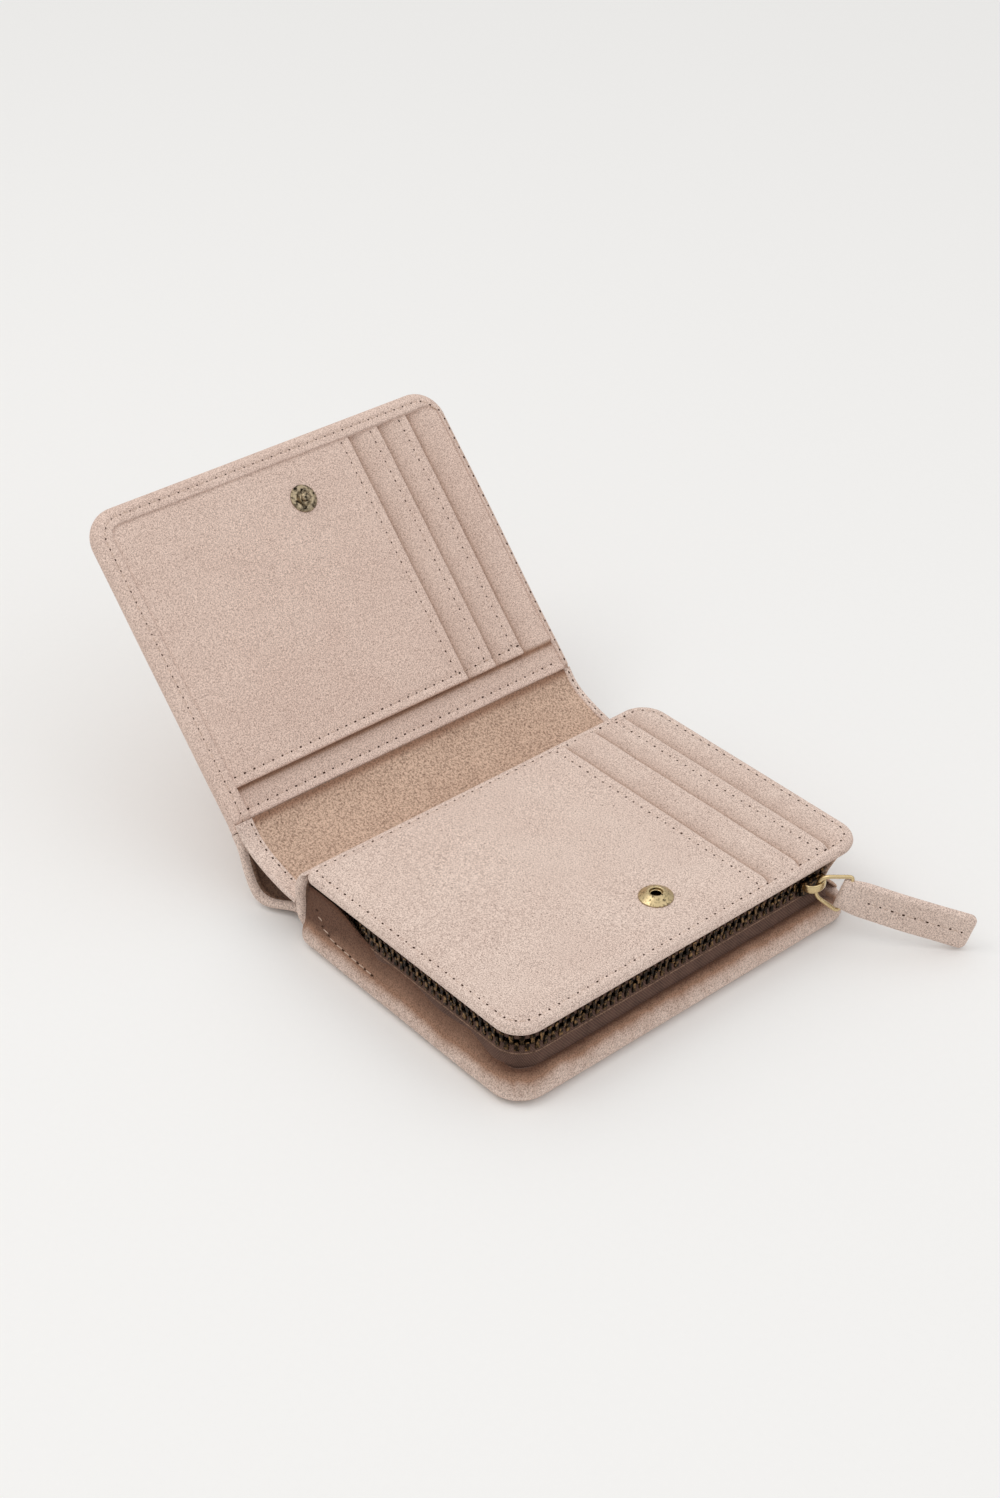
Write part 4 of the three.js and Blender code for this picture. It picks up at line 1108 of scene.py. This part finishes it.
class WALLET_OT_pull(bpy.types.Operator):
    """Make the slider, its bridge, the wire ring and the suede pull tab"""

    bl_idname = "wallet.pull"
    bl_label = "Slider and pull"

    def execute(self, context):
        y0, y1 = SLIDER_LOW[1], SLIDER_HIGH[1]
        z0, z1 = SLIDER_LOW[2], SLIDER_HIGH[2]
        mid = (z0 + z1) / 2
        outline = [(y0, z0 + 0.9), (y1 - 3.2, z0), (y1 - 1.4, z0 + 0.5), (y1 - 0.3, mid - 0.8),
                   (y1, mid + 0.4), (y1 - 0.6, z1 - 0.9), (y1 - 2.0, z1), (y0, z1 - 0.4)]
        parts = []
        for low, high in ((SLIDER_LOW[0], SLIDER_LOW[0] + 1), (SLIDER_HIGH[0] - 1, SLIDER_HIGH[0])):
            parts.append(bevelled(outline, low, high, 0.3, 3))
        web = [(y1 - 4.2, 17.5), (y1 - 0.7, 17.2), (y1 - 0.7, 18.5), (y1 - 4.2, 18.2)]
        parts.append(bevelled(web, SLIDER_LOW[0] + 0.5, SLIDER_HIGH[0] - 0.5, 0.1, 1))
        points, faces = [], []
        for p, f in parts:
            faces += [[i + sum(map(len, points)) for i in face] for face in f]
            points.append(p)
        p = np.vstack(points)
        body = new_piece("slider_casting", np.stack([p[:, 2], p[:, 0], p[:, 1]], -1), faces, [TEETH])
        mount(body, "slider", "slider_body")

        low, high = BRIDGE_LOW, BRIDGE_HIGH
        cy, cz = (low[1] + high[1]) / 2, (low[2] + high[2]) / 2
        half, rise = (high[1] - low[1]) / 2, high[0] - low[0]
        path = []
        for turn in np.linspace(0, math.pi, 25):
            out, across = rise * math.sin(turn) ** 0.7 * 0.9, -half * math.cos(turn) * 0.92
            path.append(np.array([low[0] - 0.35 + out, cy + across, cz]))
        up = np.array([0.0, 0.0, 1.0])
        stations = []
        for i, origin in enumerate(path):
            ahead = path[min(i + 1, len(path) - 1)] - path[max(i - 1, 0)]
            stations.append((origin, np.cross(ahead / np.linalg.norm(ahead), up), up))
        thick, wide = 0.42, (high[2] - low[2]) / 2
        section = [(thick * math.cos(t), wide * (abs(math.sin(t)) ** 0.6) * (1 if math.sin(t) >= 0 else -1))
                   for t in np.linspace(0, 2 * math.pi, 20, endpoint=False)]
        bridge = swept("slider_arch", GOLD, stations, section)
        mount(bridge, "slider", "slider_bridge")

        # The ring's corners, each with how far its bend reaches along the wire.
        near, far = 3.4, 6.7
        corners = [np.array(c, float) for c in ((0, -near), (0, near), (RING_LONG, far), (RING_LONG, -far))]
        reach = (2.9, 2.9, 1.6, 1.6)

        def bend_end(corner, towards):
            way = corners[towards % 4] - corners[corner % 4]
            return corners[corner % 4] + way / np.linalg.norm(way) * reach[corner % 4]

        loop = []
        for k in range(4):
            a, b, c = bend_end(k, k - 1), bend_end(k, k + 1), bend_end(k + 1, k)
            for u in np.linspace(0, 1, 8):
                loop.append((1 - u) ** 2 * a + 2 * u * (1 - u) * corners[k] + u * u * b)
            for u in np.linspace(0, 1, 6)[1:-1]:
                loop.append(b + (c - b) * u)
        wire = context.scene.wallet_sizes.ring_wire * 500
        stations = []
        for i in range(len(loop)):
            ahead = loop[(i + 1) % len(loop)] - loop[i - 1]
            ahead = ahead / np.linalg.norm(ahead)
            at = on_pull(loop[i][0], loop[i][1], 0.0)
            side = on_pull(loop[i][0] + ahead[1], loop[i][1] - ahead[0], 0.0) - at
            face = on_pull(loop[i][0], loop[i][1], 1.0) - at
            stations.append((at, side, face))
        ring = swept("wire_ring", GOLD, stations, ellipse(wire, wire, 12), closed=True)
        mount(ring, "ring", "pull_ring")

        # The strip is gathered where it turns round the wire, and flat where it is sewn together.
        a0, a1 = RING_LONG - 2.1, RING_LONG + 38

        def gathered(a, b):
            u = ease((a - a0 - 1.4) / 6.5)
            return (1 - u) * (1.9 - 0.035 * b * b) + u * 1.35 + softness() * 0.6 * wander(a, b, 9, 41)

        def face_of(sign):
            def height(a, b):
                seam = 0.22 * swell(b, 0, 0.7) * ease((a - a0 - 7) / 2)
                return sign * (gathered(a, b) - seam)
            return height

        def shaped(a, b, t):
            pinch = 1 - 0.12 * swell(a, a0, 4.0)
            return on_pull(a, b * pinch, t + 0.5 * np.sin((a - a0) / 12))

        tab = soft_piece("pull_tab_suede", SUEDE, (a0, a1, -6, 6), face_of(1), face_of(-1), (1, 2.2, 2.2, 1),
                         edge=1.2, place=shaped, coarse=0.8, near=NEAR_BAND)
        mount(tab, "tab", "pull_tab")
        for sign, name in ((1, "pull_tab_stitches"), (-1, "pull_tab_stitches_back")):
            def back(a, b, t, sign=sign):
                return shaped(a, b, sign * t)
            row = stitch_row(name, [[(a0 + 9, 0.2), (a1 - 3.0, 0.2)]], face_of(1), back)
            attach(row, "tab")
        return {"FINISHED"}


class WALLET_OT_lid(bpy.types.Operator):
    """Make the pouch's lid, with its turned rim and stepped card pockets"""

    bl_idname = "wallet.lid"
    bl_label = "Pouch lid"

    def execute(self, context):
        top = LID_HIGH[2]
        inset = 0.3
        first, second, third = LID_STEPS

        shell_face = lid_face(top - 0.7)

        def shell_top(a, b):
            depth = depth_inside(a, b, LID_RECT, LID_ROUND)
            covered = ease((third + 0.6 - b) / 1.2) * ease((depth - 0.15) / 0.5)
            dip = 0.9 * (1 - ease((b - third) / 7)) * ease((depth - 2.4) / 2)
            return shell_face(a, b) - 0.6 * covered - dip

        def under_fold(edge):
            """Painted shade: the suede is darkened in the shelter of the folded edge above it."""
            def shade(a, b):
                depth = depth_inside(a, b, LID_RECT, LID_ROUND)
                past = np.maximum(b - edge - 0.1, 0)
                return (0.3 * np.exp(-past / 3.2) + 0.3 * np.exp(-past / 0.5)) * ease((depth - 2.2) / 2.5)
            return shade

        def shell_bottom(a, b):
            depth = np.maximum(depth_inside(a, b, LID_RECT, LID_ROUND), 0)
            return LID_LOW[2] + roll(depth, 2.2, 2.0)

        shell = soft_piece("lid_shell_suede", SUEDE, LID_RECT, shell_top, shell_bottom, LID_ROUND,
                           edge=0.25, share=0.5, near=NEAR, coarse=1.3, shade=under_fold(third))
        mount(shell, "pouch_lid", "lid_shell")

        rim = tuple(r - inset for r in LID_ROUND)
        x0, x1, y0 = LID_RECT[0] + inset, LID_RECT[1] - inset, LID_RECT[2] + inset
        tops = {}
        for name, node, level, end, above in (
                ("lid_pocket_3_suede", "lid_pocket_3", top - 0.3, third, second),
                ("lid_pocket_2_suede", "lid_pocket_2", top - 0.2, second, first),
                ("lid_front_panel_suede", "lid_front_panel", top - 0.1, first, None)):
            face = lid_face(level)

            # The dip reads "end" when it is called: a layer's own edge while the layer is meshed, but the
            # last of LID_STEPS when the stitches are laid, which puts the second pocket's row too low.
            def layer_top(a, b, face=face, edge=end, above=above):
                depth = depth_inside(a, b, LID_RECT, LID_ROUND)
                fold = 0.4 * swell(b, edge - 1.0, 1.1) - 0.35 * swell(b, edge - 3.1, 0.7)
                found = face(a, b) + fold * ease((depth - 2) / 2)
                if above is not None:
                    dip = 1.05 * (1 - ease((b - above) / (end - above - 3))) * ease((depth - 2.4) / 2)
                    found = found - dip - 0.5 * ease((above + 0.5 - b) / 1.2) * ease(depth - 0.4)
                return found + 0.02

            start = y0 if above is None else end - 40
            radii = (rim[0], rim[1], 0.6, 0.6) if above is None else (0, 0, 0.6, 0.6)
            piece = soft_piece(name, SUEDE, (x0, x1, start, end), layer_top,
                               lambda a, b, f=layer_top: f(a, b) - 0.95, radii, edge=0.55, share=0.35,
                               coarse=1.3, shade=None if above is None else under_fold(above))
            mount(piece, "pouch_lid", node)
            tops[name] = layer_top

        def surface(a, b):
            found = np.where(b > third, shell_top(a, b), tops["lid_pocket_3_suede"](a, b))
            found = np.where(b > second, found, tops["lid_pocket_2_suede"](a, b))
            return np.where(b > first, found, tops["lid_front_panel_suede"](a, b))

        paths = [rounded_path(LID_RECT, LID_ROUND, context.scene.wallet_sizes.stitch_inset * 1000)]
        for end in LID_STEPS:
            paths.append([(LID_RECT[0] + 4.5, end - 3.1), (LID_RECT[1] - 4.5, end - 3.1)])
        row = stitch_row("lid_stitches", paths, surface, flat)
        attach(row, "pouch_lid")
        return {"FINISHED"}


class WALLET_OT_snap(bpy.types.Operator):
    """Make the snap's socket on the lid and its stud on the page"""

    bl_idname = "wallet.snap"
    bl_label = "Snap fastener"

    def execute(self, context):
        radius = (SOCKET_HIGH[0] - SOCKET_LOW[0]) / 2
        middle = np.array([*(SOCKET_LOW[:2] + SOCKET_HIGH[:2]) / 2, LID_HIGH[2] + 0.05])
        level = np.eye(3)
        profile = [(2.45, 0), (radius - 0.25, 0), (radius, 0.16), (radius, 0.34), (radius - 0.15, 0.48),
                   (radius * 0.9, 0.66), (radius * 0.8, 1.0), (radius * 0.68, 1.4), (radius * 0.57, 1.78),
                   (2.45, 1.98), (2.2, 2.02), (1.98, 1.94), (1.86, 1.72), (1.88, 1.2), (2.4, 1.0), (2.45, 0)]
        socket = turned("snap_socket_dome", SNAP, profile, 64, middle, level)
        mount(socket, "pouch_lid", "snap_socket")

        up = level[2]
        stations = []
        for p, q in ellipse(1, 1, 40):
            out = np.array([p, q, 0.0])
            stations.append((middle + 1.75 * out + up, out, up))
        spring = swept("socket_ring_spring", GOLD, stations, ellipse(0.24, 0.24, 10), closed=True)
        mount(spring, "pouch_lid", "socket_spring")
        floor = turned("socket_well", TEETH, [(0, 0.3), (2.4, 0.3), (2.4, 0.1), (0, 0.1)], 32, middle, level)
        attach(floor, "pouch_lid")

        corner = on_page(0.0, 0.0, 0.0)
        axes = [on_page(1.0, 0.0, 0.0) - corner, up[[0, 2, 1]], on_page(0.0, 0.0, 1.0) - corner]
        foot = on_page(STUD_AT, middle[1], PAGE_HALF - 0.05)
        profile = [(0, 0), (4.2, 0), (4.4, 0.14), (4.4, 0.34), (4.22, 0.5), (3.7, 0.66), (3.2, 0.82),
                   (2.75, 0.86), (2.45, 0.74), (2.3, 0.56), (1.3, 0.54), (1.1, 0.7), (1.08, 1.15),
                   (1.35, 1.45), (1.47, 1.8), (1.36, 2.12), (1.05, 2.4), (0.55, 2.56), (0, 2.6)]
        stud = turned("snap_stud_ball", STUD, profile, 64, foot, axes)
        mount(stud, "front_page", "snap_stud")
        return {"FINISHED"}


class WALLET_OT_spine(bpy.types.Operator):
    """Make the outer cover of the spine, which sags to the table, and its liner"""

    bl_idname = "wallet.spine"
    bl_label = "Spine"

    def execute(self, context):
        c, s = math.cos(PAGE_RISE), math.sin(PAGE_RISE)
        end = (PAGE_FOLD[0] - 0.3 * c - PAGE_HALF * s, PAGE_FOLD[2] + 0.3 * s - PAGE_HALF * c)
        place, total = along_curve([
            (FOLD[0] + 0.2, 0.0), (-55.5, 0.0), (-59.5, 0.05), (-63.6, 0.6), (-67.2, 2.2), (-70.3, 5.0),
            (-72.6, 8.8), (-74.1, 13.0), (-75.6, 16.8), end])
        halfway = total * 0.55

        def inner(a, b):
            lump = 0.35 * wander(a, b, 13, 51)
            edge = np.minimum(b - COVER_Y[0], COVER_Y[1] - b)
            hem = 1.3 * (1 - ease((edge - 3.2) / 1.2)) * ease((a + 1) / 5)
            return 1.5 + hem + 0.9 * ease((a - total + 9) / 9) + lump * ease(a / 8) * ease((total - a) / 6)

        def hung(a, b, t):
            return tucked(place(a, b, t))

        def outer(a, b):
            return 0.2 * wander(a, b, 15, 53) * ease((a - 11) / 6) * ease((total - a) / 6)

        for name, a0, a1, bodies, start, stop in (
                ("spine_cover_low", 0, halfway, ("pouch_lid", "spine"),
                 (-0.0515, 0, 0), (-0.057, 0, 0)),
                ("spine_cover_high", halfway, total, ("spine", "front_page"),
                 (-0.0745, 0, 0.0135), (-0.0778, 0, 0.0199))):
            # From INNER_FROM in, the cover's inside is the suede's back: its dark colour is partly real and
            # partly painted shade in the hollow.
            cover = soft_piece(name, COVER, (a0, a1, *COVER_Y), inner, outer, edge=1.5, place=hung,
                               near=NEAR_SPINE, coarse=1.3, open_sides=("a0", "a1"), inner=BACK)
            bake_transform(cover)
            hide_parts("spine_cover")

        liner_place, total = along_curve([
            (-48.0, 12.9), (-53.5, 13.4), (-60.0, 15.0), (-66.0, 17.0), (-70.2, 19.0), (-73.2, 21.3),
            (-76.0, 24.7)])
        halfway = total * 0.6

        def liner_top(a, b):
            crease = 0.22 * wander(a, b * 0.5, 3.2, 57)
            return 0.9 + crease + 0.35 * wander(a, b, 18, 55)

        def band_top(a, b):
            middle = np.where(b < 0, COVER_Y[0] + 5.2, COVER_Y[1] - 2.2)
            return 1.55 - 0.25 * swell(b, middle, 0.6) + 0.35 * wander(a, b, 18, 55)

        # Painted shade: the liner is darkened towards both of its ends.
        def liner_shade(a, b):
            return 0.75 * ease((5.0 - a) / 5.0) + 0.6 * ease((a - total + 3.4) / 3.0)

        def liner_low(a, b):
            return 0.35 * wander(a, b, 18, 55)

        for name, a0, a1, bodies, start, stop in (
                ("spine_liner_low", 0, halfway, ("pouch_lid", "spine"),
                 (-0.0505, 0, 0.0115), (-0.0585, 0, 0.0142)),
                ("spine_liner_high", halfway, total, ("spine", "front_page"),
                 (-0.0685, 0, 0.018), (-0.0745, 0, 0.0228))):
            rect = (a0, a1, COVER_Y[0] + 0.8, COVER_Y[1] - 1.0)
            liner = soft_piece(name, LINER, rect, liner_top, liner_low, edge=0.6, place=liner_place,
                               near=(0, 0.12, 0.35, 0.7, 1.1, 1.8), coarse=1.3, open_sides=("a0", "a1"),
                               shade=liner_shade)
            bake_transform(liner)
            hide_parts("spine_liner")
            for tag, b, b0, b1 in (("left", COVER_Y[0] + 5.2, COVER_Y[0] + 0.6, COVER_Y[0] + 6.4),
                                   ("right", COVER_Y[1] - 2.2, COVER_Y[1] - 3.4, COVER_Y[1] - 0.8)):
                band = soft_piece(f"{name}_band_{tag}", COVER, (a0, a1, b0, b1), band_top,
                                  lambda a, b: liner_low(a, b) - 0.15, edge=0.7, share=0.4, place=liner_place,
                                  near=NEAR_BAND, coarse=1.2, open_sides=("a0", "a1"))
                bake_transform(band)
                path = [(a0 + 1.7, b), (a1 - 1.7, b)]
                row = stitch_row(f"{name}_stitches_{tag}", [path], band_top, liner_place)
                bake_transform(row)
        return {"FINISHED"}


class WALLET_OT_page(bpy.types.Operator):
    """Make the leaning front page: its cover with a turned hem, the card pockets and the slip pocket"""

    bl_idname = "wallet.page"
    bl_label = "Front page"

    def execute(self, context):
        half = PAGE_HALF
        x0 = -PAGE_LONG
        rect = (x0, -0.3, *COVER_Y)
        radii = (10, 0, 0, 10)
        hem = (x0 + 6, 60, COVER_Y[0] + 6, COVER_Y[1] - 3.2)
        hem_round = (4, 0, 0, 4)

        def cover_top(a, b):
            within = depth_inside(a, b, hem, hem_round)
            outer = depth_inside(a, b, (x0, 90, *COVER_Y), radii)
            seam = 0.3 * swell(within, -2.6, 0.6) * ease((outer - 1.6) / 0.8)
            puff = 0.25 * ease((outer - 1) / 2)
            tail = 1.7 * ease((a + 3.6) / 2.2)
            return page_face(half - 0.1)(a, b) + puff - seam - 2.2 * ease((within + 0.15) / 0.35) - tail

        def cover_low(a, b):
            share = ease((-a - 1) / 10)
            return page_face(-half)(a, b) * share - half * (1 - share)

        cover = soft_piece("front_cover_suede", PAGE, rect, cover_top, cover_low, radii, edge=2.7, share=0.5,
                           place=on_page, near=NEAR_HEM, coarse=2.0, open_sides=("a1",))
        mount(cover, "front_page", "front_cover")

        first, second, third = PAGE_STEPS
        left = COVER_Y[0] + 5.2
        right = COVER_Y[1] - 3.0
        free = x0 + 5.2
        tops = {}
        for name, node, level, rect, above in (
                ("slip_pocket_suede", "front_slip_pocket", 2.35, (free, -SLIP_FROM, left, right), third),
                ("front_pocket_3_suede", "front_pocket_3", 2.7, (free, -CARDS_FROM, left, third), second),
                ("front_pocket_2_suede", "front_pocket_2", 2.8, (free, -CARDS_FROM, left, second), first),
                ("front_card_panel_suede", "front_card_panel", 2.95, (free, -CARDS_FROM, left, first), None)):
            end_a, end_b = rect[1], rect[3]
            face = page_face(level)

            def layer_top(a, b, face=face, end_a=end_a, end_b=end_b, above=above):
                folds = swell(b, end_b - 0.8, 0.9) + swell(a, end_a - 0.8, 0.9)
                seams = swell(b, end_b - 3.0, 0.6) + swell(a, end_a - 3.0, 0.6)
                found = face(a, b) + 0.25 * folds - 0.28 * seams
                found = found - 0.3 * (1 - ease((a - free) / 4)) - 0.3 * (1 - ease((b - left) / 4))
                if above is not None:
                    found = found - 0.95 * (1 - ease((b - above) / (min(end_b, above + 12) - above - 3)))
                    found = found - 0.15 * ease((above + 0.4 - b) / 1.0)
                if end_a > -CARDS_FROM:
                    found = found + 0.4 * ease((a + CARDS_FROM) / 6)
                    upper = ease((-CARDS_FROM - a) / 0.3) * ease((b - third + 0.5) / 0.5)
                    found = found + upper * (0.45 + 0.3 * swell(a, -CARDS_FROM - 0.8, 0.9))
                return found

            # Painted shade: each pocket is darkened in the shelter of the folded edge of the layer above, and
            # the slip pocket along the card pockets' edge.
            def sheltered(a, b, end_a=end_a, above=above):
                if above is None:
                    return 0 * a
                past = np.maximum(b - above - 0.1, 0)
                dark = 0.27 * np.exp(-past / 3.2) + 0.2 * np.exp(-past / 0.5)
                if end_a > -CARDS_FROM:
                    past = np.maximum(a + CARDS_FROM - 0.1, 0)
                    low = 0.25 * np.exp(-past / 3.0) + 0.65 * np.exp(-past / 0.5)
                    dark = np.where(a > -CARDS_FROM, low, np.where(b > third, dark, 0))
                return dark

            piece = soft_piece(name, PAGE, rect, layer_top, lambda a, b, f=layer_top: f(a, b) - 0.75,
                               (3, 0.6, 0.6, 0.6), edge=0.5, share=0.35, place=on_page, coarse=1.4,
                               shade=sheltered)
            mount(piece, "front_page", node)
            tops[name] = layer_top

        def cards(a, b):
            found = np.where(b > third, tops["slip_pocket_suede"](a, b), tops["front_pocket_3_suede"](a, b))
            found = np.where(b > second, found, tops["front_pocket_2_suede"](a, b))
            return np.where(b > first, found, tops["front_card_panel_suede"](a, b))

        path = [(-1.5, COVER_Y[0] + 3.4), (x0 + 10, COVER_Y[0] + 3.4)]
        for u in np.linspace(0, math.pi / 2, 9)[1:]:
            path.append((x0 + 10 - 6.6 * math.sin(u), COVER_Y[0] + 10 - 6.6 * math.cos(u)))
        for u in np.linspace(0, math.pi / 2, 9)[:-1]:
            path.append((x0 + 10 - 6.6 * math.cos(u), COVER_Y[1] - 10 + 6.6 * math.sin(u)))
        path = path[:-1] + [
            (x0 + 8.6, COVER_Y[1] - 2.6), (x0 + 12, COVER_Y[1] - 2.0), (-1.5, COVER_Y[1] - 2.0)]
        row = stitch_row("front_edge_stitches", [path], cover_top, on_page, weight=0.75)
        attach(row, "front_page")

        paths = [[(free + 2, end - 3.0), (-CARDS_FROM - 4, end - 3.0)] for end in PAGE_STEPS]
        row = stitch_row("front_pocket_stitches", paths, cards, on_page, weight=0.85)
        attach(row, "front_page")
        path = [(-CARDS_FROM - 3.0, left + 2), (-CARDS_FROM - 3.0, third - 1)]
        row = stitch_row("front_fold_stitches", [path], cards, on_page)
        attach(row, "front_page")
        path = [(-SLIP_FROM - 3.0, left + 2), (-SLIP_FROM - 3.0, right - 4)]
        row = stitch_row("slip_stitches", [path], tops["slip_pocket_suede"], on_page)
        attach(row, "front_page")
        return {"FINISHED"}


class WALLET_OT_inner_parts(bpy.types.Operator):
    """Give the boards and the snap's caps, which keep their CAD shapes, their materials"""

    bl_idname = "wallet.inner_parts"
    bl_label = "Boards and snap caps"

    def execute(self, context):
        for node, kind in (("front_stiffener", BOARD), ("socket_cap", GOLD), ("stud_cap", GOLD)):
            mesh = frame["nodes"][node].data
            mesh.materials.clear()
            mesh.materials.append(finish(kind))
        return {"FINISHED"}


class WALLET_PT_panel(bpy.types.Panel):
    """The wallet's sizes, colours and pieces"""

    bl_idname = "WALLET_PT_panel"
    bl_label = "Suede Wallet"
    bl_space_type = "VIEW_3D"
    bl_region_type = "UI"
    bl_category = "Wallet"

    def draw(self, context):
        column = self.layout.column()
        for group in (context.scene.wallet_sizes, context.scene.wallet_colours):
            for name in group.bl_rna.properties.keys():
                if name not in ("rna_type", "name"):
                    column.prop(group, name)
        for step in STEPS:
            column.operator(step.bl_idname)


STEPS = (
    WALLET_OT_stage, WALLET_OT_base, WALLET_OT_pouch, WALLET_OT_zip, WALLET_OT_pull, WALLET_OT_lid,
    WALLET_OT_snap, WALLET_OT_spine, WALLET_OT_page, WALLET_OT_inner_parts,
)
CLASSES = (WalletSizes, WalletColours, *STEPS, WALLET_PT_panel)


def register():
    for each in CLASSES:
        bpy.utils.register_class(each)
    bpy.types.Scene.wallet_sizes = bpy.props.PointerProperty(type=WalletSizes)
    bpy.types.Scene.wallet_colours = bpy.props.PointerProperty(type=WalletColours)


def unregister():
    del bpy.types.Scene.wallet_colours
    del bpy.types.Scene.wallet_sizes
    for each in reversed(CLASSES):
        bpy.utils.unregister_class(each)


def main():
    register()
    bpy.ops.wallet.stage()
    bpy.ops.wallet.base()
    bpy.ops.wallet.pouch()
    bpy.ops.wallet.zip()
    bpy.ops.wallet.pull()
    bpy.ops.wallet.lid()
    bpy.ops.wallet.snap()
    bpy.ops.wallet.spine()
    bpy.ops.wallet.page()
    bpy.ops.wallet.inner_parts()


if __name__ == "__main__":
    main()
